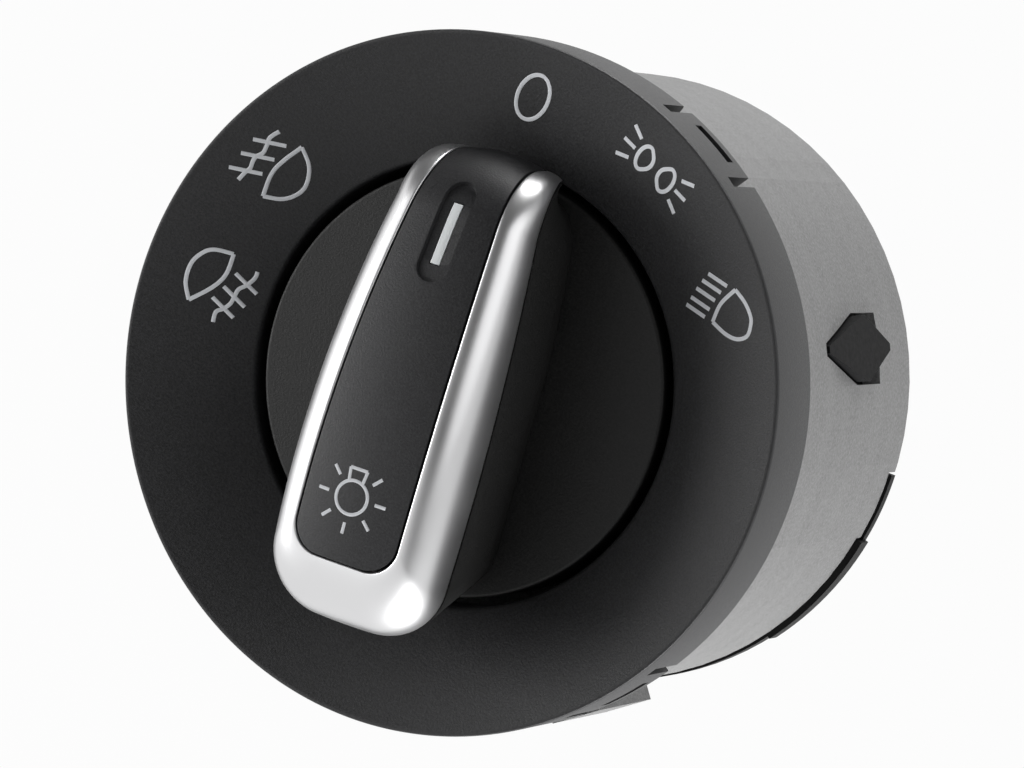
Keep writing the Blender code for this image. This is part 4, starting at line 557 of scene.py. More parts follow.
class Workpiece:
    """A mesh that is shaped in millimetres in its own frame and then delivered."""

    def __init__(self, name: str, bm: bmesh.types.BMesh) -> None:
        """Start from a bmesh, which is freed.

        Args:
            name: The piece's name.
            bm: The first shape.
        """
        self.object = self.as_object(name, bm)

    @staticmethod
    def as_object(name: str, bm: bmesh.types.BMesh) -> bpy.types.Object:
        """Turn a bmesh into an object with its faces outwards.

        Args:
            name: The object's name.
            bm: The shape, which is freed.

        Returns:
            The object.
        """
        bmesh.ops.recalc_face_normals(bm, faces=bm.faces)
        mesh = bpy.data.meshes.new(name)
        bm.to_mesh(mesh)
        bm.free()
        made = bpy.data.objects.new(name, mesh)
        bpy.context.scene.collection.objects.link(made)
        return made

    def settle(self) -> None:
        """Apply every modifier."""
        depsgraph = bpy.context.evaluated_depsgraph_get()
        mesh = bpy.data.meshes.new_from_object(self.object.evaluated_get(depsgraph), depsgraph=depsgraph)
        self.object.modifiers.clear()
        old = self.object.data
        self.object.data = mesh
        bpy.data.meshes.remove(old)

    def change(self, operation: Operation, bm: bmesh.types.BMesh) -> "Workpiece":
        """Cut a shape from the piece or join one to it.

        Args:
            operation: What to do.
            bm: The other shape, which is freed.

        Returns:
            The piece itself.
        """
        tool = self.as_object(self.object.name + "_tool", bm)
        modifier = self.object.modifiers.new("shape", "BOOLEAN")
        modifier.operation = operation.value
        modifier.solver = "EXACT"
        modifier.object = tool
        self.settle()
        mesh = tool.data
        bpy.data.objects.remove(tool)
        bpy.data.meshes.remove(mesh)
        return self

    def bevel(self, width: float, segments: int = 2, angle: float = 40.0) -> "Workpiece":
        """Round the sharp edges.

        Args:
            width: How far from the edge the round starts.
            segments: How many flats it has.
            angle: The angle past which an edge counts as sharp.

        Returns:
            The piece itself.
        """
        modifier = self.object.modifiers.new("edges", "BEVEL")
        modifier.width = width
        modifier.segments = segments
        modifier.limit_method = "ANGLE"
        modifier.angle_limit = math.radians(angle)
        modifier.use_clamp_overlap = True
        self.settle()
        return self

    def deliver(self, place: Place, finish: Finish, body: Body | None, nodes: Sequence[str] = (),
                crease: float = 35.0, weighted: bool = False) -> bpy.types.Object:
        """Put the piece in the world, finished and riding on its body.

        Args:
            place: The frame that it was drawn in.
            finish: Its surface.
            body: What it rides on, or None for a piece that rides on no body.
            nodes: The solids that it stands for.
            crease: The angle past which an edge stays sharp.
            weighted: Whether large faces keep their own direction.

        Returns:
            The finished object.
        """
        mesh = self.object.data
        mesh.transform(place.matrix())
        mesh.materials.clear()
        mesh.materials.append(finish.material())
        mesh.shade_smooth()
        mesh.set_sharp_from_angle(angle=math.radians(crease))
        if weighted:
            modifier = self.object.modifiers.new("normals", "WEIGHTED_NORMAL")
            modifier.keep_sharp = True
            self.settle()
        if body is not None:
            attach(self.object, body.value)
        if nodes:
            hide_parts(*nodes)
        LOG.info("%s: %d faces", self.object.name, len(self.object.data.polygons))
        return self.object


def polar(bearing: float, radius: float, z: float = 0.0) -> Vector:
    """A point at a clockwise bearing from the top."""
    angle = math.radians(bearing)
    return Vector((radius * math.sin(angle), radius * math.cos(angle), z))


def bearing_turn(bearing: float) -> Matrix:
    """The matrix that takes straight up to a bearing."""
    return Matrix.Rotation(-math.radians(bearing), 4, "Z")


def turned(profile: Sequence[Point], steps: int) -> bmesh.types.BMesh:
    """Spin a profile that starts and ends on the axis.

    Args:
        profile: Points as (radius, z).
        steps: How many flats go round.

    Returns:
        The turned shape.
    """
    bm = bmesh.new()
    verts = [bm.verts.new((radius, 0.0, z)) for radius, z in profile]
    edges = [bm.edges.new(pair) for pair in zip(verts, verts[1:])]
    bmesh.ops.spin(bm, geom=verts + edges, cent=(0, 0, 0), axis=(0, 0, 1), angle=math.tau, steps=steps)
    bmesh.ops.remove_doubles(bm, verts=bm.verts, dist=MERGE)
    return bm


def rounded(corner: Point, before: Point, after: Point, radius: float, steps: int = 4) -> Outline:
    """Round one corner of a profile.

    Args:
        corner: The corner.
        before: The point before it.
        after: The point after it.
        radius: How far from the corner the round starts.
        steps: How many segments it has.

    Returns:
        The points of the round, in order.
    """
    c = Vector(corner)
    start = c + (Vector(before) - c).normalized() * radius
    end = c + (Vector(after) - c).normalized() * radius
    points = []
    for k in range(steps + 1):
        t = k / steps
        p = start * (1 - t) ** 2 + c * 2 * t * (1 - t) + end * t * t
        points.append((p.x, p.y))
    return points


def rounded_profile(points: Sequence[tuple[float, float, float]], steps: int = 4) -> Outline:
    """A closed profile whose corners have their own rounds.

    Args:
        points: Corners as (radius, z, round).
        steps: How many segments each round has.

    Returns:
        The profile.
    """
    outline: Outline = []
    for k, (x, y, round_size) in enumerate(points):
        if round_size <= 0.0:
            outline.append((x, y))
            continue
        before = points[k - 1][:2]
        after = points[(k + 1) % len(points)][:2]
        outline += rounded((x, y), before, after, round_size, steps)
    return outline


def add_prism(bm: bmesh.types.BMesh, outline: Sequence[Point], low: float,
              high: float) -> list[bmesh.types.BMVert]:
    """Add an upright prism to a bmesh.

    Args:
        bm: What to add it to.
        outline: Its outline.
        low: Where it starts.
        high: Where it ends.

    Returns:
        The prism's corners.
    """
    face = bm.faces.new([bm.verts.new((x, y, low)) for x, y in outline])
    raised = bmesh.ops.extrude_face_region(bm, geom=[face])["geom"]
    top = [item for item in raised if isinstance(item, bmesh.types.BMVert)]
    bmesh.ops.translate(bm, verts=top, vec=(0, 0, high - low))
    return list(face.verts) + top


def circle(radius: float, flats: int, centre: Point = (0.0, 0.0)) -> Outline:
    """A closed round outline.

    Args:
        radius: Its radius.
        flats: How many sides it has.
        centre: Its centre.

    Returns:
        The outline.
    """
    turns = [math.tau * k / flats for k in range(flats)]
    return [(centre[0] + radius * math.cos(turn), centre[1] + radius * math.sin(turn)) for turn in turns]


def rectangle(x_low: float, x_high: float, y_low: float, y_high: float) -> Outline:
    """The corners of an upright rectangle."""
    return [(x_low, y_low), (x_high, y_low), (x_high, y_high), (x_low, y_high)]


def add_radial_block(bm: bmesh.types.BMesh, bearing: float, half: float, inner: float, outer: float,
                     back: float, front: float) -> None:
    """Add a block that points along a bearing.

    Args:
        bm: What to add it to.
        bearing: Where it points.
        half: Half its width.
        inner: The radius at which it starts.
        outer: The radius at which it ends.
        back: Its lower z.
        front: Its upper z.
    """
    verts = add_prism(bm, rectangle(-half, half, inner, outer), back, front)
    bmesh.ops.transform(bm, matrix=bearing_turn(bearing), verts=verts)


def add_skin(bm: bmesh.types.BMesh, loops: Sequence[Sequence[Vector]]) -> list[list[bmesh.types.BMVert]]:
    """Skin closed loops of points laid one after another, open at both ends.

    Args:
        bm: What to add the skin to.
        loops: The loops, each with as many points.

    Returns:
        Each loop's corners.
    """
    rows = [[bm.verts.new(point) for point in loop] for loop in loops]
    for near, far in zip(rows, rows[1:]):
        for k in range(len(near)):
            following = (k + 1) % len(near)
            bm.faces.new((near[k], near[following], far[following], far[k]))
    return rows


def loft(loops: Sequence[Sequence[Vector]]) -> bmesh.types.BMesh:
    """Skin closed loops of points and close both ends.

    Args:
        loops: The loops, each with as many points.

    Returns:
        The closed shape.
    """
    bm = bmesh.new()
    rows = add_skin(bm, loops)
    bm.faces.new(list(reversed(rows[0])))
    bm.faces.new(rows[-1])
    return bm


@dataclass(frozen=True)
class Line:
    """A drawn line: its points, whether it closes, and its widths where they vary."""

    points: Sequence[Sequence[float]]
    closed: bool = False
    widths: Sequence[float] = ()


@dataclass
class CarriedSolid:
    """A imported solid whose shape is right: its copy is merged, smoothed and dressed."""

    node: str
    finish: Finish
    body: Body
    crease: float = 30.0
    flat_angle: float = 0.4

    def build(self) -> bpy.types.Object:
        """Copy the solid, merge its triangles and dress it.

        Returns:
            The finished object.
        """
        bm = bmesh.new()
        bm.from_mesh(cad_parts[self.node].data)
        bmesh.ops.transform(bm, matrix=Matrix.Scale(1.0 / MM, 4), verts=bm.verts)
        bmesh.ops.remove_doubles(bm, verts=bm.verts, dist=MERGE / 2)
        bmesh.ops.dissolve_limit(bm, angle_limit=math.radians(self.flat_angle), verts=bm.verts,
                                 edges=bm.edges, delimit={"NORMAL"})
        bmesh.ops.transform(bm, matrix=AXES.inverted(), verts=bm.verts)
        piece = Workpiece(self.node + "_dressed", bm)
        return piece.deliver(Place.SWITCH, self.finish, self.body, [self.node], self.crease, weighted=True)


class ShapeTree:
    """A Geometry Nodes tree with named sizes, whose result becomes a plain mesh."""

    INPUTS: tuple[str, ...] = ()

    def __init__(self, name: str, finish: Finish) -> None:
        """Build the tree.

        Args:
            name: The tree's name.
            finish: What it puts on the shape.
        """
        self.name = name
        self.tree = bpy.data.node_groups.new(name, "GeometryNodeTree")
        sockets = self.tree.interface
        sockets.new_socket("Geometry", in_out="INPUT", socket_type="NodeSocketGeometry")
        self.sockets = {
            label: sockets.new_socket(label, in_out="INPUT", socket_type="NodeSocketFloat").identifier
            for label in self.INPUTS
        }
        sockets.new_socket("Geometry", in_out="OUTPUT", socket_type="NodeSocketGeometry")
        self.given = add_node(self.tree, "NodeGroupInput").outputs
        whole = add_node(self.tree, "GeometryNodeRealizeInstances", {"Geometry": self.shape()})
        dressed = add_node(self.tree, "GeometryNodeSetMaterial", {
            "Geometry": whole.outputs["Geometry"], "Material": finish.material(),
        })
        add_node(self.tree, "NodeGroupOutput", {"Geometry": dressed.outputs["Geometry"]})

    def shape(self) -> bpy.types.NodeSocket:
        """Add the nodes that make the shape.

        Returns:
            The shape's geometry.
        """
        return self.given["Geometry"]

    def run(self, name: str, lines: Sequence[Line], values: Sequence[float]) -> Workpiece:
        """Run the tree on drawn lines.

        Args:
            name: The piece's name.
            lines: What the tree starts from.
            values: The tree's inputs, in the order of INPUTS.

        Returns:
            The shape as a workpiece.
        """
        curve = bpy.data.curves.new(name + "_lines", "CURVE")
        curve.dimensions = "3D"
        for line in lines:
            spline = curve.splines.new("POLY")
            spline.points.add(len(line.points) - 1)
            for knot, place in zip(spline.points, line.points):
                knot.co = (*place, 1.0) if len(place) == 3 else (*place, 0.0, 1.0)
            for knot, width in zip(spline.points, line.widths):
                knot.radius = width
            spline.use_cyclic_u = line.closed
        carrier = bpy.data.objects.new(name + "_lines", curve)
        bpy.context.scene.collection.objects.link(carrier)
        modifier = carrier.modifiers.new(self.name, "NODES")
        modifier.node_group = self.tree
        for label, value in zip(self.INPUTS, values):
            modifier[self.sockets[label]] = float(value)
        depsgraph = bpy.context.evaluated_depsgraph_get()
        mesh = bpy.data.meshes.new_from_object(carrier.evaluated_get(depsgraph), depsgraph=depsgraph)
        bm = bmesh.new()
        bm.from_mesh(mesh)
        bpy.data.objects.remove(carrier)
        bpy.data.curves.remove(curve)
        bpy.data.meshes.remove(mesh)
        return Workpiece(name, bm)


class StrokeTree(ShapeTree):
    """Turns drawn lines into printed strokes laid on a surface."""

    INPUTS = ("Stroke width", "Print thickness", "Surface height", "Rise with radius", "Rise with y",
              "Bow with x", "Bow with y")
    STEP = 0.12
    SIDES = 12

    def shape(self) -> bpy.types.NodeSocket:
        """Sweep each line, flatten it to the print's thickness and lay it on the surface.

        Returns:
            The strokes' geometry.
        """
        tree = self.tree
        given = self.given
        smooth = add_node(tree, "GeometryNodeCurveSplineType", {"Curve": given["Geometry"]},
                          spline_type="CATMULL_ROM")
        fine = add_node(tree, "GeometryNodeResampleCurve", {"Curve": smooth, "Length": self.STEP},
                        mode="LENGTH")
        half = add_node(tree, "ShaderNodeMath", {0: given["Stroke width"], 1: 0.5}, operation="MULTIPLY")
        section = add_node(tree, "GeometryNodeCurvePrimitiveCircle", {
            "Resolution": self.SIDES, "Radius": half,
        })
        swept = add_node(tree, "GeometryNodeCurveToMesh", {
            "Curve": fine, "Profile Curve": section, "Fill Caps": True,
        })
        place = add_node(tree, "GeometryNodeInputPosition")
        parts = add_node(tree, "ShaderNodeSeparateXYZ", {"Vector": place}).outputs
        flat = add_node(tree, "ShaderNodeCombineXYZ", {"X": parts["X"], "Y": parts["Y"]})
        radius = add_node(tree, "ShaderNodeVectorMath", {0: flat}, operation="LENGTH")
        thin = add_node(tree, "ShaderNodeMath", {0: given["Print thickness"], 1: given["Stroke width"]},
                        operation="DIVIDE")
        # The height above the disc is a sum of three products and two squares, made as two dot products.
        measures = add_node(tree, "ShaderNodeCombineXYZ", {"X": radius, "Y": parts["Y"], "Z": parts["Z"]})
        rises = add_node(tree, "ShaderNodeCombineXYZ", {
            "X": given["Rise with radius"], "Y": given["Rise with y"], "Z": thin,
        })
        sloped = add_node(tree, "ShaderNodeVectorMath", {0: measures, 1: rises}, operation="DOT_PRODUCT")
        squares = add_node(tree, "ShaderNodeVectorMath", {0: flat, 1: flat}, operation="MULTIPLY")
        bows = add_node(tree, "ShaderNodeCombineXYZ", {"X": given["Bow with x"], "Y": given["Bow with y"]})
        bowed = add_node(tree, "ShaderNodeVectorMath", {0: squares, 1: bows}, operation="DOT_PRODUCT")
        shaped = add_node(tree, "ShaderNodeMath", {0: sloped, 1: bowed}, operation="ADD")
        height = add_node(tree, "ShaderNodeMath", {0: shaped, 1: given["Surface height"]}, operation="ADD")
        laid = add_node(tree, "ShaderNodeCombineXYZ", {"X": parts["X"], "Y": parts["Y"], "Z": height})
        moved = add_node(tree, "GeometryNodeSetPosition", {"Geometry": swept, "Position": laid})
        return moved.outputs["Geometry"]


class CoilTree(ShapeTree):
    """Winds a line into a coil spring whose end turns lie flat."""

    INPUTS = ("Coil radius", "Wire", "Turns", "Low end", "High end")
    STEPS_A_TURN = 32.0
    WIRE_SIDES = 14
    FLAT_TURN = 0.5

    def shape(self) -> bpy.types.NodeSocket:
        """Wind the line round the z axis and sweep the wire along it.

        Returns:
            The spring's geometry.
        """
        tree = self.tree
        given = self.given
        count = add_node(tree, "ShaderNodeMath", {0: given["Turns"], 1: self.STEPS_A_TURN, 2: 1.0},
                         operation="MULTIPLY_ADD")
        fine = add_node(tree, "GeometryNodeResampleCurve", {"Curve": given["Geometry"], "Count": count},
                        mode="COUNT")
        share = add_node(tree, "GeometryNodeSplineParameter").outputs["Factor"]
        wound = add_node(tree, "ShaderNodeMath", {0: share, 1: given["Turns"]}, operation="MULTIPLY")
        angle = add_node(tree, "ShaderNodeMath", {0: wound, 1: math.tau}, operation="MULTIPLY")
        last = add_node(tree, "ShaderNodeMath", {0: given["Turns"], 1: self.FLAT_TURN}, operation="SUBTRACT")
        half = add_node(tree, "ShaderNodeMath", {0: given["Wire"], 1: 0.5}, operation="MULTIPLY")
        bottom = add_node(tree, "ShaderNodeMath", {0: given["Low end"], 1: half}, operation="ADD")
        top = add_node(tree, "ShaderNodeMath", {0: given["High end"], 1: half}, operation="SUBTRACT")
        height = add_node(tree, "ShaderNodeMapRange", {
            "Value": wound, "From Min": self.FLAT_TURN, "From Max": last, "To Min": bottom, "To Max": top,
        })
        arm = add_node(tree, "ShaderNodeCombineXYZ", {"X": given["Coil radius"], "Z": height})
        place = add_node(tree, "ShaderNodeVectorRotate", {"Vector": arm, "Angle": angle},
                         rotation_type="Z_AXIS")
        coiled = add_node(tree, "GeometryNodeSetPosition", {"Geometry": fine, "Position": place})
        section = add_node(tree, "GeometryNodeCurvePrimitiveCircle", {
            "Resolution": self.WIRE_SIDES, "Radius": half,
        })
        swept = add_node(tree, "GeometryNodeCurveToMesh", {
            "Curve": coiled, "Profile Curve": section, "Fill Caps": True,
        })
        return swept.outputs["Mesh"]


class PinTree(ShapeTree):
    """Makes a block of square pins from one pin's axis, whose widths shape its point."""

    INPUTS = ("Side", "Columns", "Rows", "Column pitch", "Row pitch", "Centre x", "Centre y")

    def shape(self) -> bpy.types.NodeSocket:
        """Sweep a square along the axis and set a pin at each place of the block.

        Returns:
            The pins as instances.
        """
        tree = self.tree
        given = self.given
        section = add_node(tree, "GeometryNodeCurvePrimitiveQuadrilateral", {
            "Width": given["Side"], "Height": given["Side"],
        })
        pin = add_node(tree, "GeometryNodeCurveToMesh", {
            "Curve": given["Geometry"], "Profile Curve": section, "Fill Caps": True,
        })
        if "Scale" in pin.inputs:
            feed(tree, pin, {"Scale": add_node(tree, "GeometryNodeInputRadius")})
        spans = []
        for count, pitch in (("Columns", "Column pitch"), ("Rows", "Row pitch")):
            gaps = add_node(tree, "ShaderNodeMath", {0: given[count], 1: 1.0}, operation="SUBTRACT")
            spans.append(add_node(tree, "ShaderNodeMath", {0: given[pitch], 1: gaps}, operation="MULTIPLY"))
        block = add_node(tree, "GeometryNodeMeshGrid", {
            "Size X": spans[0],
            "Size Y": spans[1],
            "Vertices X": given["Columns"],
            "Vertices Y": given["Rows"],
        })
        centre = add_node(tree, "ShaderNodeCombineXYZ", {"X": given["Centre x"], "Y": given["Centre y"]})
        moved = add_node(tree, "GeometryNodeSetPosition", {"Geometry": block, "Offset": centre})
        return add_node(tree, "GeometryNodeInstanceOnPoints", {
            "Points": moved, "Instance": pin,
        }).outputs["Instances"]


class TurnedTree(ShapeTree):
    """Turns a closed outline of (radius, height) points round the z axis."""

    INPUTS = ("Steps", "Path radius")

    def shape(self) -> bpy.types.NodeSocket:
        """Carry the outline round a circle.

        Returns:
            The turned shape's geometry.
        """
        tree = self.tree
        given = self.given
        path = add_node(tree, "GeometryNodeCurvePrimitiveCircle", {
            "Resolution": given["Steps"], "Radius": given["Path radius"],
        })
        inwards = add_node(tree, "ShaderNodeMath", {0: given["Path radius"], 1: -1.0}, operation="MULTIPLY")
        back = add_node(tree, "ShaderNodeCombineXYZ", {"X": inwards})
        outline = add_node(tree, "GeometryNodeSetPosition", {"Geometry": given["Geometry"], "Offset": back})
        upright = add_node(tree, "GeometryNodeTransform", {"Geometry": outline, "Scale": (1.0, -1.0, 1.0)})
        return add_node(tree, "GeometryNodeCurveToMesh", {
            "Curve": path, "Profile Curve": upright,
        }).outputs["Mesh"]


@dataclass
class LampSymbols:
    """The bezel's symbols, drawn with the off position at the top: off, lamps and fog lamps."""

    off_centre: Point = (0.15, 28.7)
    off_half_height: float = 2.38
    off_half_width: float = 1.55
    off_lean: float = -22.0
    off_points: int = 28
    side_centre: Point = (14.19, 25.69)
    side_lean: float = -27.8
    side_apart: float = 3.08
    side_length: float = 2.6
    side_width: float = 1.5
    side_turns: tuple[float, ...] = (-118.0, -90.0, -60.0, -30.0, 0.0, 30.0, 60.0, 90.0, 118.0)
    side_back: float = 0.93
    side_back_half: float = 0.45
    ray_length: float = 1.46
    ray_spread: float = 24.0
    ray_offset: float = 1.2
    ray_gap: float = 0.55
    dipped_dome: tuple[Point, ...] = (
        (25.40, 17.17), (26.7, 16.35), (27.65, 15.33), (27.93, 14.52), (27.80, 13.34), (26.75, 12.72),
        (25.36, 12.81), (23.67, 13.46))
    dipped_lens: tuple[Point, ...] = ((23.67, 13.46), (24.12, 15.37), (25.40, 17.17))
    dipped_beams: tuple[Point, ...] = (
        (23.24, 17.48), (22.72, 16.68), (22.25, 15.75), (21.87, 14.75), (21.53, 13.91))
    dipped_beam_length: float = 2.4
    dipped_beam_lean: float = -13.0
    front_dome: tuple[Point, ...] = (
        (-21.82, 17.24), (-20.95, 15.9), (-20.70, 14.6), (-20.93, 13.3), (-21.75, 12.29), (-22.90, 11.66),
        (-24.55, 11.46))
    front_lens: tuple[Point, ...] = ((-24.55, 11.46), (-24.19, 13.76), (-23.35, 15.35), (-21.82, 17.24))
    front_beams: tuple[Point, ...] = ((-24.87, 16.79), (-25.74, 15.14), (-26.59, 13.45))
    front_beam_length: float = 3.2
    front_beam_lean: float = 4.6
    front_fog: tuple[Point, ...] = (
        (-24.17, 18.13), (-24.95, 17.25), (-25.12, 16.35), (-25.33, 15.62), (-25.89, 15.09), (-26.11, 14.52),
        (-26.22, 13.82), (-26.6, 13.28), (-27.1, 12.37))
    rear_dome: tuple[Point, ...] = (
        (-26.00, 5.10), (-27.79, 5.02), (-28.82, 4.39), (-29.60, 3.08), (-29.67, 1.20), (-28.95, -0.47))
    rear_lens: tuple[Point, ...] = ((-28.95, -0.47), (-27.16, 1.35), (-26.25, 2.95), (-26.00, 5.10))
    rear_beams: tuple[Point, ...] = ((-24.23, 2.6), (-24.99, 1.03), (-25.73, -0.3))
    rear_beam_length: float = 2.75
    rear_beam_lean: float = -31.0
    rear_fog: tuple[Point, ...] = (
        (-23.49, 4.03), (-23.58, 3.37), (-24.15, 2.47), (-24.78, 1.85), (-24.98, 1.06), (-25.17, 0.27),
        (-25.68, -0.41), (-26.24, -0.9), (-26.25, -1.95))
    stroke: float = 0.396
    thickness: float = 0.0707

    @staticmethod
    def bar(middle: Point, length: float, lean: float) -> Line:
        """A straight line about its middle.

        Args:
            middle: Its middle.
            length: Its length.
            lean: Its angle, anticlockwise from level.

        Returns:
            The line.
        """
        half = Vector((math.cos(math.radians(lean)), math.sin(math.radians(lean)))) * length / 2
        centre = Vector(middle)
        return Line([tuple(centre - half), tuple(centre), tuple(centre + half)])

    def off_ring(self) -> list[Line]:
        """The leaning oval of the off position.

        Returns:
            Its line.
        """
        lean = Matrix.Rotation(math.radians(self.off_lean), 2)
        size = Vector((self.off_half_width, self.off_half_height))
        ring = [Vector(point) * size for point in circle(1.0, self.off_points)]
        return [Line([tuple(Vector(self.off_centre) + lean @ point) for point in ring], True)]

    def side_lamps(self) -> list[Line]:
        """Two lamps back to back, each with three rays.

        Returns:
            Their lines.
        """
        lean = Matrix.Rotation(math.radians(self.side_lean), 2)
        centre = Vector(self.side_centre)
        lines = []
        for side in (-1, 1):
            bulb = []
            for angle in self.side_turns:
                turn = math.radians(angle)
                across = self.side_apart / 2 + self.side_width / 2 * math.cos(turn)
                bulb.append(Vector((side * across, self.side_length / 2 * math.sin(turn))))
            back = side * (self.side_apart / 2 - self.side_back)
            bulb += [Vector((back, self.side_back_half)), Vector((back, -self.side_back_half))]
            lines.append(Line([tuple(centre + lean @ p) for p in bulb], True))
            for spread in (-1, 0, 1):
                turn = math.radians(self.ray_spread * spread)
                near = self.side_apart / 2 + self.side_width / 2 + self.ray_gap
                start = Vector((near, spread * self.ray_offset))
                end = start + Vector((math.cos(turn), math.sin(turn))) * self.ray_length
                ray = [Vector((side * p.x, p.y)) for p in (start, (start + end) / 2, end)]
                lines.append(Line([tuple(centre + lean @ p) for p in ray]))
        return lines

    def lines(self) -> list[Line]:
        """All the symbols' lines, turned from the off position's frame to the switch's.

        Returns:
            The lines.
        """
        drawn = self.off_ring() + self.side_lamps()
        for outline in (self.dipped_dome, self.dipped_lens, self.front_dome, self.front_lens,
                        self.rear_dome, self.rear_lens):
            drawn.append(Line(outline))
        for beams, length, lean in (
            (self.dipped_beams, self.dipped_beam_length, self.dipped_beam_lean),
            (self.front_beams, self.front_beam_length, self.front_beam_lean),
            (self.rear_beams, self.rear_beam_length, self.rear_beam_lean),
        ):
            drawn += [self.bar(middle, length, lean) for middle in beams]
        drawn += [Line(self.front_fog), Line(self.rear_fog)]
        turn = Matrix.Rotation(math.radians(-KNOB_REST_BEARING), 2)
        return [Line([tuple(turn @ Vector(place)) for place in line.points], line.closed) for line in drawn]


@dataclass
class Bezel:
    """The dished front ring with its skirt, snap tongues and printed symbols."""

    radius: float = BEZEL_RADIUS
    edge_round: float = 0.5
    rear_round: float = 0.25
    rear_inner_round: float = 0.2
    skirt_depth: float = 9.5
    skirt_wall: float = 1.8
    face_dish: float = 4.45
    face_wall: float = 1.6
    bore: float = 21.8
    bore_round: float = 0.45
    collar_wall: float = 1.4
    collar_depth: float = 5.5
    tongue_bearings: tuple[float, ...] = (1.5, 106.0, 181.5, 286.0)
    tongue_half: float = 4.8
    tongue_length: float = 6.1
    slit: float = 1.1
    window_half: float = 2.4
    window_back: float = 1.5
    window_height: float = 1.6
    steps: int = 240
    crease: float = 32.0
    symbols: LampSymbols = field(default_factory=LampSymbols)

    @property
    def slope(self) -> float:
        """How fast the face rises with radius."""
        return self.face_dish / (self.radius - self.edge_round - self.bore)

    @property
    def bore_height(self) -> float:
        """The face's height at the bore."""
        return self.skirt_depth - self.face_dish

    def face_height(self, radius: float) -> float:
        """The face's height at a radius."""
        return self.bore_height + (radius - self.bore) * self.slope

    def build(self, strokes: StrokeTree) -> None:
        """Build the ring and its symbols.

        Args:
            strokes: The tree that draws printed lines.
        """
        skirt_inner = self.radius - self.skirt_wall
        collar_outer = self.bore + self.collar_wall
        profile = rounded_profile([
            (self.radius, self.face_height(self.radius), self.edge_round),
            (self.radius, 0.0, self.rear_round),
            (skirt_inner, 0.0, self.rear_inner_round),
            (skirt_inner, self.face_height(skirt_inner) - self.face_wall, 0.0),
            (collar_outer, self.face_height(collar_outer) - self.face_wall, 0.0),
            (collar_outer, self.bore_height - self.collar_depth, 0.0),
            (self.bore, self.bore_height - self.collar_depth, 0.0),
            (self.bore, self.bore_height, self.bore_round),
        ])
        ring = TurnedTree("turned_ring", FINISHES.bezel)
        piece = ring.run("bezel_ring", [Line(profile, True)], [self.steps, self.bore])
        cuts = bmesh.new()
        offset = math.degrees(self.tongue_half / self.radius)
        for bearing in self.tongue_bearings:
            for side in (-1, 1):
                add_radial_block(cuts, bearing + side * offset, self.slit / 2, skirt_inner - CUT,
                                 self.radius + CUT, -CUT, self.tongue_length)
            add_radial_block(cuts, bearing, self.window_half, skirt_inner - CUT, self.radius + CUT,
                             self.window_back, self.window_back + self.window_height)
        piece.change(Operation.CUT, cuts)
        piece.deliver(Place.SWITCH, FINISHES.bezel, Body.SWITCH, ["bezel"], self.crease)
        ink = strokes.run("bezel_symbols", self.symbols.lines(), [
            self.symbols.stroke, self.symbols.thickness, self.face_height(0.0), self.slope, 0.0, 0.0, 0.0,
        ])
        ink.deliver(Place.SWITCH, FINISHES.symbols, Body.SWITCH, (), SOFT)


Station = tuple[Vector, Vector, Vector]


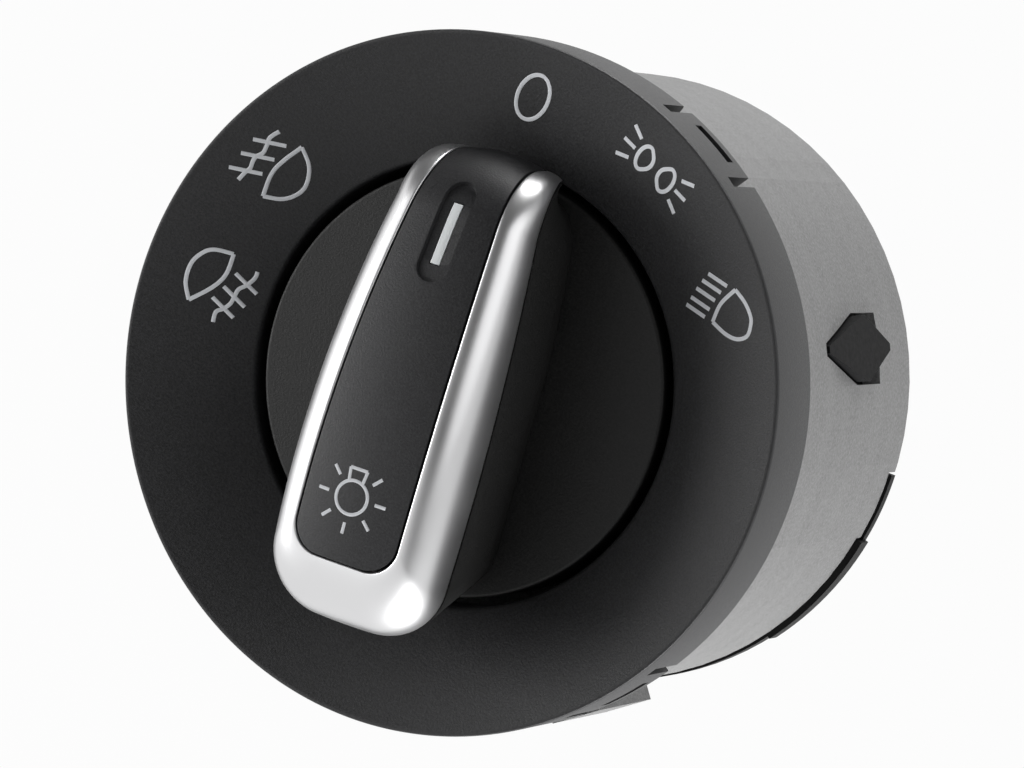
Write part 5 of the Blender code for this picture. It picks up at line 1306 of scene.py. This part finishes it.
@dataclass
class Handle:
    """The knob: disc and bar handle, silver trim, top cover with its pointer, and lamp symbol."""

    disc_radius: float = 20.9
    disc_front: float = 5.0
    disc_wall: float = 1.8
    disc_edge: float = 0.35
    disc_flats: int = 180
    rim_wall: float = 1.4
    rim_depth: float = 8.0
    boss_radius: float = 6.6
    boss_back: float = 2.0
    bore_radius: float = 5.3
    bore_reach: float = 2.8
    bore_flats: int = 32
    low_end: float = -23.87
    end_bulge: float = 0.06
    wide_v: float = -8.48
    half_width: float = 9.07
    taper: float = 0.0028
    wide_height: float = 11.7
    height_taper: float = 0.0031
    corner: float = 6.17
    foot_half: float = 8.2
    foot_taper: float = 0.0045
    foot_low_end: float = -19.8
    foot_high_end: float = 19.4
    foot_corner: float = 5.0
    foot_rim_height: float = 0.35
    foot_rim_spread: float = 0.1
    foot_step_height: float = 3.2
    foot_step_spread: float = 0.6
    foot_nose_round: float = 2.0
    cover_low_end: float = -17.28
    cover_low_height: float = 17.82
    low_slope: float = -3.84
    nose_slope: float = 17.07
    nose_radius: float = 8.34
    nose_start: float = 16.56
    end_slope: float = 88.0
    end_height: float = 4.0
    cover_half: float = 5.18
    cover_taper: float = 0.0258
    cover_taper_growth: float = 0.0015
    cover_corner: float = 2.8
    cover_crown: float = 0.5
    cover_wall: float = 1.4
    cover_edge: float = 0.1
    crown_steps: int = 8
    trim_side_wall: float = 1.2
    trim_top_wall: float = 1.5
    trim_nose_end: float = 21.9
    trim_nose_half: float = 5.9
    pointer_low: float = 11.96
    pointer_length: float = 5.9
    pointer_half: float = 0.475
    recess_half: float = 1.45
    recess_margin: float = 1.8
    recess_depth: float = 0.5
    recess_flare: float = 0.25
    pointer_depth: float = 1.6
    pointer_edge: float = 0.06
    bar_steps: int = 28
    bar_end_share: float = 0.08
    trim_lip: float = 0.22
    trim_foot_lip: float = 0.35
    arm_steps: int = 40
    nose_steps: int = 24
    corner_steps: int = 20
    end_steps: int = 6
    round_steps: int = 18
    lip_steps: int = 4
    shoulder_steps: int = 3
    crease: float = 40.0
    lamp_centre: Point = (-0.3, -11.05)
    lamp_radius: float = 1.62
    lamp_points: int = 32
    lamp_base: tuple[float, float] = (0.9, 1.15)
    lamp_foot_share: float = 0.8
    ray_turns: tuple[float, ...] = (135.0, 180.0, 225.0, 270.0, 315.0, 0.0, 45.0)
    ray_inner: float = 2.45
    ray_outer: float = 3.55
    lamp_stroke: float = 0.3253
    lamp_thickness: float = 0.0707

    def cover_width(self, v: float) -> float:
        """Half the cover's width at a place along the handle."""
        return self.cover_half - self.cover_taper * v - self.cover_taper_growth * v * v

    @property
    def arch(self) -> tuple[float, float]:
        """The crest's fall at its low end, and how fast that fall grows along the handle."""
        low, high = (math.tan(math.radians(angle)) for angle in (self.low_slope, self.nose_slope))
        return low, (high - low) / (self.nose_start - self.cover_low_end)

    def crest(self, v: float) -> tuple[float, float]:
        """The crest line at a place along the handle.

        Args:
            v: The place, from the knob's axis towards the pointer.

        Returns:
            The crest's height and its slope in radians.
        """
        low, bend = self.arch
        along = min(v, self.nose_start) - self.cover_low_end
        height = self.cover_low_height - low * along - bend * along ** 2 / 2
        if v <= self.nose_start:
            return height, math.atan(low + bend * along)
        slope = math.radians(self.nose_slope)
        turn = math.asin(min(math.sin(slope) + (v - self.nose_start) / self.nose_radius, 1.0))
        return height - self.nose_radius * (math.cos(slope) - math.cos(turn)), turn

    def nose(self, end_height: float) -> list[tuple[float, float, float]]:
        """The crest's stations round the nose and down to its end.

        Args:
            end_height: Where the nose stops above the disc.

        Returns:
            Each station's place, height and slope.
        """
        slope = math.radians(self.nose_slope)
        start, _ = self.crest(self.nose_start)
        stations = []
        for k in range(1, self.nose_steps + 1):
            turn = slope + (math.radians(self.end_slope) - slope) * k / self.nose_steps
            stations.append((
                self.nose_start + self.nose_radius * (math.sin(turn) - math.sin(slope)),
                start - self.nose_radius * (math.cos(slope) - math.cos(turn)),
                turn,
            ))
        v, h, turn = stations[-1]
        stations.append((v + (h - end_height) / math.tan(turn), end_height, turn))
        return stations

    @staticmethod
    def normal(slope: float) -> Vector:
        """The outward normal of the crest line."""
        return Vector((0.0, math.sin(slope), math.cos(slope)))

    def width(self, v: float) -> float:
        """Half the handle's greatest width at a place along it."""
        return self.half_width - self.taper * (v - self.wide_v) ** 2

    def height(self, v: float) -> float:
        """How high above the disc the handle is widest."""
        return self.wide_height - self.height_taper * (v - self.wide_v) ** 2

    def stations(self, end_height: float) -> list[Station]:
        """The trim's two edge lines, from the pointer end round the low end and back.

        Args:
            end_height: Where the nose stops above the disc.

        Returns:
            Each station's inner edge, outer edge and crest normal.
        """
        inner_corner = self.cover_corner + SEAM
        inner_corner_v = self.cover_low_end + self.cover_corner
        outer_corner_v = self.low_end + self.corner
        right: list[Station] = []
        nose = self.nose(end_height)
        wide = self.width(self.nose_start)
        high = self.height(self.nose_start)
        for k, (v, h, slope) in enumerate(nose, start=1):
            turn = math.pi / 2 * k / len(nose)
            outer = Vector((
                self.trim_nose_half + (wide - self.trim_nose_half) * math.cos(turn),
                self.nose_start + (self.trim_nose_end - self.nose_start) * math.sin(turn),
                end_height + (high - end_height) * math.cos(turn),
            ))
            right.append((Vector((self.cover_width(v) + SEAM, v, h)), outer, self.normal(slope)))
        right.reverse()
        for k in range(self.arm_steps + 1):
            v = self.nose_start + (inner_corner_v - self.nose_start) * k / self.arm_steps
            v_out = self.nose_start + (outer_corner_v - self.nose_start) * k / self.arm_steps
            h, slope = self.crest(v)
            right.append((
                Vector((self.cover_width(v) + SEAM, v, h)),
                Vector((self.width(v_out), v_out, self.height(v_out))),
                self.normal(slope),
            ))
        inner_x = self.cover_width(inner_corner_v) - self.cover_corner
        outer_x = self.width(outer_corner_v) - self.corner
        for k in range(1, self.corner_steps + 1):
            turn = math.pi / 2 * k / self.corner_steps
            v = inner_corner_v - inner_corner * math.sin(turn)
            v_out = outer_corner_v - self.corner * math.sin(turn)
            h, slope = self.crest(v)
            right.append((
                Vector((inner_x + inner_corner * math.cos(turn), v, h)),
                Vector((outer_x + self.corner * math.cos(turn), v_out, self.height(v_out))),
                self.normal(slope),
            ))
        low_v = inner_corner_v - inner_corner
        for k in range(1, self.end_steps + 1):
            share = 1.0 - k / self.end_steps
            v_out = self.low_end - self.end_bulge * (1.0 - share * share)
            h, slope = self.crest(low_v)
            right.append((
                Vector((inner_x * share, low_v, h)), Vector((outer_x * share, v_out, self.height(v_out))),
                self.normal(slope),
            ))
        left = [tuple(Vector((-p.x, p.y, p.z)) for p in station) for station in reversed(right[:-1])]
        return right + left

    @staticmethod
    def shoulder(inner: Vector, outer: Vector, normal: Vector, turns: Sequence[float]) -> list[Vector]:
        """Points on the rounded shoulder between two edges.

        Args:
            inner: The inner edge.
            outer: The outer edge.
            normal: The crest's normal.
            turns: How far round each point lies, from 0 at the inner edge to a quarter turn.

        Returns:
            The points.
        """
        step = outer - inner
        down = normal * step.dot(normal)
        sideways = step - down
        return [inner + sideways * math.sin(turn) + down * (1.0 - math.cos(turn)) for turn in turns]

    def raised(self, bm: bmesh.types.BMesh) -> bmesh.types.BMesh:
        """Lift a shape drawn above the disc onto the disc."""
        bmesh.ops.translate(bm, verts=bm.verts, vec=(0, 0, self.disc_front))
        return bm

    def trim_section(self, inner: Vector, outer: Vector, normal: Vector) -> list[Vector]:
        """The trim's section at one station: a rounded lip, the shoulder, a rounded foot and the inside.

        Args:
            inner: The inner edge.
            outer: The outer edge.
            normal: The crest's normal.

        Returns:
            The section's points in order.
        """
        step = outer - inner
        down = -step.dot(normal)
        across = step + normal * down
        reach = across.length
        outward = across.normalized()
        wall = min(self.trim_top_wall, down)
        lip = min(self.trim_lip, wall / 2)
        foot = min(self.trim_foot_lip, wall / 2)

        def at(x: float, drop: float) -> Vector:
            """The point so far outwards from the inner edge and so far below it."""
            return inner + outward * x - normal * drop

        start, end = math.asin(lip / reach), math.acos(foot / down)
        points = []
        for k in range(self.lip_steps):
            turn = math.pi / 2 * k / self.lip_steps
            points.append(at(lip * (1.0 - math.cos(turn)), lip * (1.0 - math.sin(turn))))
        for k in range(self.round_steps + 1):
            turn = start + (end - start) * k / self.round_steps
            points.append(at(reach * math.sin(turn), down * (1.0 - math.cos(turn))))
        for k in range(1, self.lip_steps + 1):
            turn = math.pi / 2 * k / self.lip_steps
            points.append(at(reach - foot * (1.0 - math.cos(turn)), down - foot * (1.0 - math.sin(turn))))
        inside = reach - self.trim_side_wall
        for k in range(self.shoulder_steps + 1):
            turn = math.pi / 2 * (1.0 - k / self.shoulder_steps)
            points.append(at(inside * math.sin(turn), wall + (down - wall) * (1.0 - math.cos(turn))))
        return points

    def build_trim(self) -> None:
        """Build the silver trim."""
        loops = [self.trim_section(*station) for station in self.stations(self.end_height)]
        piece = Workpiece("handle_trim", self.raised(loft(loops)))
        piece.deliver(Place.KNOB, FINISHES.trim, Body.KNOB, ["knob_trim"], SOFT)

    def foot(self, stations: Sequence[Station], spread: float, height: float) -> list[Vector]:
        """The handle's foot, with one point for each station.

        Args:
            stations: The trim's stations.
            spread: How far the foot is grown.
            height: Its height above the disc.

        Returns:
            The foot's points.
        """
        low_start = self.foot_low_end + self.foot_corner
        outer_low = self.low_end + self.corner
        arm = self.nose_steps + 1 + self.arm_steps
        points = []
        for k, (_, outer, _) in enumerate(stations):
            side = 1.0 if k < len(stations) / 2 else -1.0
            place = min(k, len(stations) - 1 - k)
            if place <= arm:
                share = (outer.y - outer_low) / (self.trim_nose_end - outer_low)
                v = low_start + (self.foot_high_end - low_start) * share
                round_off = max(1.0 - place / (self.nose_steps + 1), 0.0)
                u = self.foot_half - self.foot_taper * max(v, 0.0) ** 2
                u -= self.foot_nose_round * (1.0 - math.cos(math.pi / 2 * round_off))
            else:
                turn = math.pi / 2 * min((place - arm) / self.corner_steps, 1.0)
                corner_x = self.foot_half - self.foot_corner
                v = low_start - self.foot_corner * math.sin(turn)
                u = corner_x + self.foot_corner * math.cos(turn)
                past = place - arm - self.corner_steps
                if past > 0:
                    u = corner_x * (1.0 - past / self.end_steps)
            points.append(Vector((
                side * u * (1.0 + spread / self.foot_half), v * (1.0 + spread / self.foot_high_end), height,
            )))
        return points

    def core(self) -> bmesh.types.BMesh:
        """The handle's core as one skin: foot, flanks, ledge under the trim, shoulder and plateau.

        Returns:
            The core.
        """
        stations = self.stations(self.end_height - CLEARANCE)
        rings = [
            self.foot(stations, 0.0, -self.disc_wall * 2 / 3),
            self.foot(stations, self.foot_rim_spread, self.foot_rim_height),
            self.foot(stations, self.foot_step_spread, self.foot_step_height),
            [outer - normal * SEAM for _, outer, normal in stations],
        ]
        turns = [math.pi / 2 * k / self.shoulder_steps for k in range(self.shoulder_steps + 1)]
        shoulders = []
        for inner, outer, normal in stations:
            step = outer - inner
            outward = (step - normal * step.dot(normal)).normalized()
            core_inner = inner - normal * (self.trim_top_wall + CLEARANCE) - outward * CLEARANCE
            core_outer = outer - outward * (self.trim_side_wall + CLEARANCE) - normal * 2 * SEAM
            shoulders.append(list(reversed(self.shoulder(core_inner, core_outer, normal, turns))))
        rings += [list(ring) for ring in zip(*shoulders)]
        bm = bmesh.new()
        rows = add_skin(bm, rings)
        count = len(stations)
        bm.faces.new(list(reversed(rows[0])))
        plateau = rows[-1]
        arm = self.nose_steps + 1 + self.arm_steps
        for k in range(arm):
            bm.faces.new((plateau[k], plateau[k + 1], plateau[count - 2 - k], plateau[count - 1 - k]))
        bm.faces.new(plateau[arm:count - arm])
        return self.raised(bm)

    def build_body(self) -> None:
        """Build the disc with the handle's core."""
        rim_inner = self.disc_radius - self.rim_wall
        back = self.disc_front - self.disc_wall
        profile = [(0.0, self.disc_front)]
        profile += rounded(
            (self.disc_radius, self.disc_front), (0.0, self.disc_front),
            (self.disc_radius, self.disc_front - self.rim_depth), self.disc_edge)
        profile += [
            (self.disc_radius, self.disc_front - self.rim_depth),
            (rim_inner, self.disc_front - self.rim_depth),
            (rim_inner, back),
            (self.boss_radius, back),
            (self.boss_radius, -self.boss_back),
            (0.0, -self.boss_back),
        ]
        piece = Workpiece("knob_disc_and_handle", turned(profile, self.disc_flats))
        piece.change(Operation.JOIN, self.core())
        bore = bmesh.new()
        add_prism(bore, circle(self.bore_radius, self.bore_flats), -self.boss_back - CUT,
                  self.disc_front + self.bore_reach)
        piece.change(Operation.CUT, bore)
        piece.deliver(Place.KNOB, FINISHES.knob, Body.KNOB, ["knob_body"], self.crease, weighted=True)

    def crest_bar(self, low: float, high: float, half: float, bottom: float, top: float,
                  round_ends: bool = False, flare: float = 0.0) -> bmesh.types.BMesh:
        """A bar laid along the crest line between two offsets from it.

        Args:
            low: Where it starts along the handle.
            high: Where it ends.
            half: Half its width.
            bottom: Its lower offset from the crest.
            top: Its upper offset.
            round_ends: Whether its ends are round.
            flare: How much wider it is at the top.

        Returns:
            The bar.
        """
        loops = []
        for k in range(self.bar_steps + 1):
            v = low + (high - low) * (1.0 - math.cos(math.pi * k / self.bar_steps)) / 2
            width = half
            if round_ends:
                to_end = min(v - low, high - v)
                if to_end < half:
                    width = max(math.sqrt(half * half - (half - to_end) ** 2), half * self.bar_end_share)
            h, slope = self.crest(v)
            normal = self.normal(slope)
            base = Vector((0.0, v, h + self.disc_front))
            side = Vector((width, 0, 0))
            wide = Vector((width + flare, 0, 0))
            loops.append([
                base - side + normal * bottom,
                base + side + normal * bottom,
                base + wide + normal * top,
                base - wide + normal * top,
            ])
        return loft(loops)

    def build_cover(self) -> None:
        """Build the crowned top cover with the pointer's recess."""
        stations: list[tuple[float, float, float, float]] = []
        for k in range(self.corner_steps + 1):
            turn = math.pi / 2 * k / self.corner_steps
            v = self.cover_low_end + self.cover_corner * (1.0 - math.cos(turn))
            stations.append((v, *self.crest(v), self.cover_corner * (1.0 - math.sin(turn))))
        corner_v = self.cover_low_end + self.cover_corner
        for k in range(1, self.arm_steps + 1):
            v = corner_v + (self.nose_start - corner_v) * k / self.arm_steps
            stations.append((v, *self.crest(v), 0.0))
        stations += [(*station, 0.0) for station in self.nose(self.end_height)]
        across = range(-self.crown_steps, self.crown_steps + 1)
        spread = [math.sin(math.pi / 2 * k / self.crown_steps) for k in across]
        loops = []
        for v, h, slope, draw_in in stations:
            full = self.cover_width(v)
            half = full - draw_in
            normal = self.normal(slope)
            base = Vector((0.0, v, h))
            top = [
                base + Vector((half * s, 0, 0)) + normal * self.cover_crown * (1.0 - (half * s / full) ** 2)
                for s in spread
            ]
            under = [base + Vector((half * s, 0, 0)) - normal * self.cover_wall for s in (1.0, 0.0, -1.0)]
            loops.append([point + Vector((0, 0, self.disc_front)) for point in top + under])
        piece = Workpiece("handle_top_cover", loft(loops))
        floor = self.cover_crown - self.recess_depth
        pointer_high = self.pointer_low + self.pointer_length
        piece.change(Operation.CUT, self.crest_bar(
            self.pointer_low - self.recess_margin, pointer_high + self.recess_margin, self.recess_half,
            floor, self.cover_crown + CUT, round_ends=True, flare=self.recess_flare))
        piece.change(Operation.CUT, self.crest_bar(
            self.pointer_low - SEAM / 2, pointer_high + SEAM / 2, self.pointer_half + SEAM / 2,
            -self.cover_wall - CUT, self.cover_crown))
        piece.bevel(self.cover_edge, 3)
        piece.deliver(Place.KNOB, FINISHES.insert, Body.KNOB, ["knob_insert"], self.crease, weighted=True)

        lens = Workpiece("pointer_window", self.crest_bar(
            self.pointer_low, pointer_high, self.pointer_half, floor - self.pointer_depth, floor))
        lens.bevel(self.pointer_edge)
        lens.deliver(Place.KNOB, FINISHES.pointer, Body.KNOB, ["pointer_lens"], self.crease)

    def build_symbol(self, strokes: StrokeTree) -> None:
        """Print the lamp symbol near the cover's low end.

        Args:
            strokes: The tree that draws printed lines.
        """
        x0, y0 = self.lamp_centre
        lines = [Line(circle(self.lamp_radius, self.lamp_points, self.lamp_centre), True)]
        half, tall = self.lamp_base
        foot = half * self.lamp_foot_share
        foot_y = y0 + math.sqrt(self.lamp_radius ** 2 - half * half / 2)
        head_y = y0 + self.lamp_radius + tall
        corners = [(x0 - foot, foot_y), (x0 - half, head_y), (x0 + half, head_y), (x0 + foot, foot_y)]
        for start, end in zip(corners, corners[1:]):
            lines.append(Line([start, ((start[0] + end[0]) / 2, (start[1] + end[1]) / 2), end]))
        for angle in self.ray_turns:
            turn = math.radians(angle)
            reach = [self.ray_inner, (self.ray_inner + self.ray_outer) / 2, self.ray_outer]
            lines.append(Line([(x0 + r * math.cos(turn), y0 + r * math.sin(turn)) for r in reach]))
        low, bend = self.arch
        start = self.cover_low_end
        crest = self.cover_low_height + low * start - bend * start ** 2 / 2
        ink = strokes.run("handle_lamp_symbol", lines, [
            self.lamp_stroke, self.lamp_thickness, self.disc_front + crest + self.cover_crown, 0.0,
            bend * start - low, -self.cover_crown / self.cover_width(y0) ** 2, -bend / 2,
        ])
        ink.deliver(Place.KNOB, FINISHES.symbols, Body.KNOB, (), SOFT)

    def build(self, strokes: StrokeTree) -> None:
        """Build every piece of the knob that is seen.

        Args:
            strokes: The tree that draws printed lines.
        """
        self.build_body()
        self.build_trim()
        self.build_cover()
        self.build_symbol(strokes)


@dataclass
class CoilSpring:
    """A coil spring, which stands for one solid."""

    node: str
    body: Body
    pressed_by: Body
    radius: float
    wire: float
    turns: float
    low: float
    high: float
    bearing: float | None = None
    depth: float = 0.0
    past_ends: float = 0.26

    def build(self, coils: CoilTree) -> None:
        """Wind the spring; one with a bearing lies along it at its depth, the rest stand on the axis.

        Args:
            coils: The tree that winds springs.
        """
        straight = Line([(0.0, 0.0, self.low), (0.0, 0.0, self.high)])
        piece = coils.run(self.node + "_wire", [straight], [
            self.radius, self.wire, self.turns, self.low, self.high,
        ])
        place = Matrix.Identity(4)
        if self.bearing is not None:
            turn = polar(self.bearing, 1.0).to_track_quat("Z", "Y").to_matrix().to_4x4()
            place = Matrix.Translation((0.0, 0.0, -self.depth)) @ turn
        piece.object.data.transform(place)
        made = piece.deliver(Place.SWITCH, FINISHES.spring, None, [self.node], SOFT)
        spare = (self.high - self.low) * self.past_ends
        start, end = (
            tuple(Place.SWITCH.matrix() @ place @ Vector((0.0, 0.0, height)))
            for height in (self.low - spare, self.high + spare)
        )
        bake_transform(made)


@dataclass
class ConnectorPins:
    """The connector's block of square pins with pointed tips."""

    side: float = 0.8
    columns: int = 5
    rows: int = 2
    column_pitch: float = 3.2
    row_pitch: float = 4.5
    centre: Point = (8.0, -15.0)
    front: float = 14.3
    tip: float = 42.5
    point: float = 0.5
    tip_share: float = 0.375
    crease: float = 20.0

    def build(self) -> None:
        """Make the block, which stands for every pin's solid."""
        axis = [(0.0, 0.0, -depth) for depth in (self.front, self.tip - self.point, self.tip)]
        pins = PinTree("pin_block", FINISHES.tinned)
        piece = pins.run("connector_pins", [Line(axis, False, (1.0, 1.0, self.tip_share))], [
            self.side, self.columns, self.rows, self.column_pitch, self.row_pitch, *self.centre,
        ])
        nodes = ["connector_pin_%02d" % number for number in range(1, self.columns * self.rows + 1)]
        piece.deliver(Place.SWITCH, FINISHES.tinned, Body.SWITCH, nodes, self.crease)


@dataclass
class Working:
    """The housing, rear cover, latches and everything that works inside, dressed from the solids."""

    lamps: tuple[str, ...] = ("off", "side_lights", "dipped_beam", "front_fog", "rear_fog")
    springs: tuple[CoilSpring, ...] = (
        CoilSpring("latch_spring_right", Body.SWITCH, Body.LATCH_RIGHT, radius=1.9, wire=0.45, turns=5.0,
                   low=17.7, high=23.9, bearing=38.4, depth=24.0),
        CoilSpring("latch_spring_left", Body.SWITCH, Body.LATCH_LEFT, radius=1.9, wire=0.45, turns=5.0,
                   low=17.7, high=23.9, bearing=218.4, depth=24.0),
        CoilSpring("return_spring", Body.ROTOR, Body.KNOB, radius=7.6, wire=0.8, turns=4.0,
                   low=-5.3, high=2.9),
    )

    def solids(self) -> list[CarriedSolid]:
        """Every carried solid with its finish and body.

        Returns:
            The solids, the housing first.
        """
        made = [
            CarriedSolid("housing", FINISHES.housing, Body.SWITCH, crease=25.0),
            CarriedSolid("rear_cover", FINISHES.cover, Body.SWITCH, crease=25.0),
            CarriedSolid("main_board", FINISHES.board, Body.SWITCH),
            CarriedSolid("lamp_board", FINISHES.board, Body.SWITCH),
            CarriedSolid("symbol_light_guide", FINISHES.clear, Body.SWITCH),
            CarriedSolid("knob_lamp_board", FINISHES.board, Body.SWITCH),
            CarriedSolid("knob_lamp", FINISHES.lamp, Body.SWITCH),
            CarriedSolid("detent_spring", FINISHES.spring, Body.SWITCH),
            CarriedSolid("fog_board", FINISHES.board, Body.SWITCH),
            CarriedSolid("detent_rotor", FINISHES.white, Body.ROTOR),
            CarriedSolid("rotor_contact", FINISHES.bronze, Body.ROTOR, crease=50.0),
            CarriedSolid("knob_shaft", FINISHES.dark, Body.KNOB),
            CarriedSolid("knob_light_guide", FINISHES.clear, Body.KNOB),
            CarriedSolid("fog_slider", FINISHES.white, Body.SLIDER),
            CarriedSolid("fog_contact", FINISHES.bronze, Body.SLIDER, crease=50.0),
            CarriedSolid("latch_right", FINISHES.dark, Body.LATCH_RIGHT, crease=15.0),
            CarriedSolid("latch_left", FINISHES.dark, Body.LATCH_LEFT, crease=15.0),
        ]
        made += [CarriedSolid("lamp_" + name, FINISHES.lamp, Body.SWITCH) for name in self.lamps]
        return made

    def build(self) -> None:
        """Dress every carried solid, wind the springs and set the pins."""
        for solid in self.solids():
            solid.build()
        coils = CoilTree("coil_springs", FINISHES.spring)
        for spring in self.springs:
            spring.build(coils)
        ConnectorPins().build()


@dataclass
class SoftBox:
    """One soft studio light, placed by the camera's own directions."""

    name: str
    right: float
    up: float
    towards: float
    size: float
    power: float
    distance: float = 0.9

    def build(self, camera: Matrix) -> None:
        """Hang the light, looking at the part.

        Args:
            camera: The camera's turn, with its right, up and back as columns.
        """
        data = bpy.data.lights.new(self.name, "AREA")
        data.shape = "DISK"
        data.size = self.size
        data.energy = self.power
        light = bpy.data.objects.new(self.name, data)
        bpy.context.scene.collection.objects.link(light)
        away = camera @ Vector((self.right, self.up, self.towards)).normalized()
        light.location = away * self.distance
        light.rotation_mode = "QUATERNION"
        light.rotation_quaternion = away.to_track_quat("Z", "Y")


@dataclass
class Studio:
    """The camera at the photograph's angle, soft lights, a plain floor and a pale surround."""

    lens: float = 182.85
    sensor: float = 36.0
    clip_start: float = 0.01
    clip_end: float = 50.0
    # The camera's axes in the world, fitted to the photograph's round outlines.
    right: tuple[float, float, float] = (0.645092, 0.371702, 0.667555)
    forward: tuple[float, float, float] = (-0.244013, 0.928199, -0.281054)
    # The axis's point at reference_y as the camera sees it: right, down and ahead, in millimetres.
    centre: tuple[float, float, float] = (-6.403, -0.068, 500.0)
    reference_y: float = -9.0
    # Metres. The light that comes from the picture's left rises from below, so the floor lies low.
    floor_height: float = -0.75
    floor_size: float = 24.0
    floor_colour: str = "efefef"
    floor_roughness: float = 0.9
    floor_specular: float = 0.1
    floor_glow: float = 0.97
    # What lights plain surfaces from all round, and what reflections show: dim on one side, bright
    # on the other. The sweep is the bright side by the camera's right, up and back.
    ambient: float = 0.13
    dim: float = 0.10
    bright: float = 1.0
    dim_to: float = -0.3
    bright_from: float = 0.75
    sweep: tuple[float, float, float] = (0.45, -0.35, -0.8)
    lamps: tuple[SoftBox, ...] = (
        SoftBox("soft_left", -0.98, 0.16, 0.13, size=0.5, power=5.0),
        SoftBox("soft_left_high", -0.78, 0.42, 0.47, size=0.8, power=1.5),
        SoftBox("soft_top", 0.45, 0.95, -0.25, size=0.5, power=7.2),
        SoftBox("soft_right", 0.72, 0.08, 0.69, size=0.8, power=2.2),
        SoftBox("soft_low", 0.3, -0.95, 0.1, size=0.5, power=10.0),
    )

    def turn(self) -> Matrix:
        """The camera's turn.

        Returns:
            Its right, up and back as columns.
        """
        right = Vector(self.right).normalized()
        forward = Vector(self.forward)
        forward = (forward - right * forward.dot(right)).normalized()
        return Matrix((right, right.cross(forward), -forward)).transposed()

    @staticmethod
    def rays(tree: bpy.types.NodeTree) -> tuple[bpy.types.NodeSocket, bpy.types.Node]:
        """Tell apart the rays that meet a surface.

        Args:
            tree: The tree to add the nodes to.

        Returns:
            What is 1 for the camera's own rays, and what is 1 for rays by way of gloss or glass.
        """
        path = add_node(tree, "ShaderNodeLightPath").outputs
        mirrored = add_node(tree, "ShaderNodeMath", {
            0: path["Is Glossy Ray"], 1: path["Is Transmission Ray"],
        }, operation="MAXIMUM")
        return path["Is Camera Ray"], mirrored

    def build_camera(self) -> None:
        """Set the camera up."""
        data = bpy.data.cameras.new("camera")
        data.lens = self.lens
        data.sensor_width = self.sensor
        data.clip_start = self.clip_start
        data.clip_end = self.clip_end
        camera = bpy.data.objects.new("camera", data)
        bpy.context.scene.collection.objects.link(camera)
        turn = self.turn()
        cx, cy, cz = self.centre
        place = turn @ Vector((-cx, cy, cz)) * MM + Vector((0.0, self.reference_y * MM, 0.0))
        camera.matrix_world = Matrix.Translation(place) @ turn.to_4x4()
        bpy.context.scene.camera = camera

    def build_floor(self) -> None:
        """Lay the floor: white to the camera and in reflections, but keeping the shadow."""
        bm = bmesh.new()
        half = self.floor_size / 2
        corners = rectangle(-half, half, -half, half)
        bm.faces.new([bm.verts.new((x, y, self.floor_height)) for x, y in corners])
        mesh = bpy.data.meshes.new("floor")
        bm.to_mesh(mesh)
        bm.free()
        floor = bpy.data.objects.new("floor", mesh)
        bpy.context.scene.collection.objects.link(floor)
        material = bpy.data.materials.new("floor_white_paper")
        material.use_nodes = True
        tree = material.node_tree
        paper = tree.nodes["Principled BSDF"]
        feed(tree, paper, {
            "Base Color": linear(self.floor_colour),
            "Roughness": self.floor_roughness,
            "Specular IOR Level": self.floor_specular,
        })
        glow = add_node(tree, "ShaderNodeEmission", {"Color": linear(WHITE), "Strength": 1.0})
        camera_ray, mirrored = self.rays(tree)
        direct = add_node(tree, "ShaderNodeMath", {0: camera_ray, 1: mirrored}, operation="MAXIMUM")
        seen = add_node(tree, "ShaderNodeMath", {0: direct, 1: self.floor_glow}, operation="MULTIPLY")
        mixed = add_node(tree, "ShaderNodeMixShader", {0: seen, 1: paper, 2: glow})
        feed(tree, tree.nodes["Material Output"], {"Surface": mixed})
        mesh.materials.append(material)

    def build_surround(self) -> None:
        """Make the surround: white to the camera, and dim on its side in what it lights."""
        world = bpy.data.worlds.new("surround")
        bpy.context.scene.world = world
        world.use_nodes = True
        tree = world.node_tree
        tree.nodes.clear()
        ray = add_node(tree, "ShaderNodeTexCoord").outputs["Generated"]
        facing = add_node(tree, "ShaderNodeVectorMath", {
            0: ray, 1: self.turn() @ Vector(self.sweep).normalized(),
        }, operation="DOT_PRODUCT")
        glow = add_node(tree, "ShaderNodeMapRange", {
            "Value": facing,
            "From Min": self.dim_to,
            "From Max": self.bright_from,
            "To Min": self.dim,
            "To Max": self.bright,
        }, interpolation_type="SMOOTHSTEP")
        camera_ray, mirrored = self.rays(tree)
        lit = add_node(tree, "ShaderNodeMix", {"Factor": mirrored, "A": self.ambient, "B": glow})
        strength = add_node(tree, "ShaderNodeMath", {0: camera_ray, 1: lit}, operation="MAXIMUM")
        soft = add_node(tree, "ShaderNodeBackground", {"Color": linear(WHITE), "Strength": strength})
        add_node(tree, "ShaderNodeOutputWorld", {"Surface": soft})

    def build(self) -> None:
        """Build the whole studio."""
        scene = bpy.context.scene
        scene.view_settings.view_transform = "Standard"
        self.build_camera()
        self.build_floor()
        self.build_surround()
        turn = self.turn()
        for box in self.lamps:
            box.build(turn)


def main() -> None:
    """Build the switch's looks and its studio."""
    logging.basicConfig(level=logging.INFO, format="%(name)s: %(message)s")
    strokes = StrokeTree("printed_strokes", FINISHES.symbols)
    Bezel().build(strokes)
    Handle().build(strokes)
    Working().build()
    Studio().build()


if __name__ == "__main__":
    main()
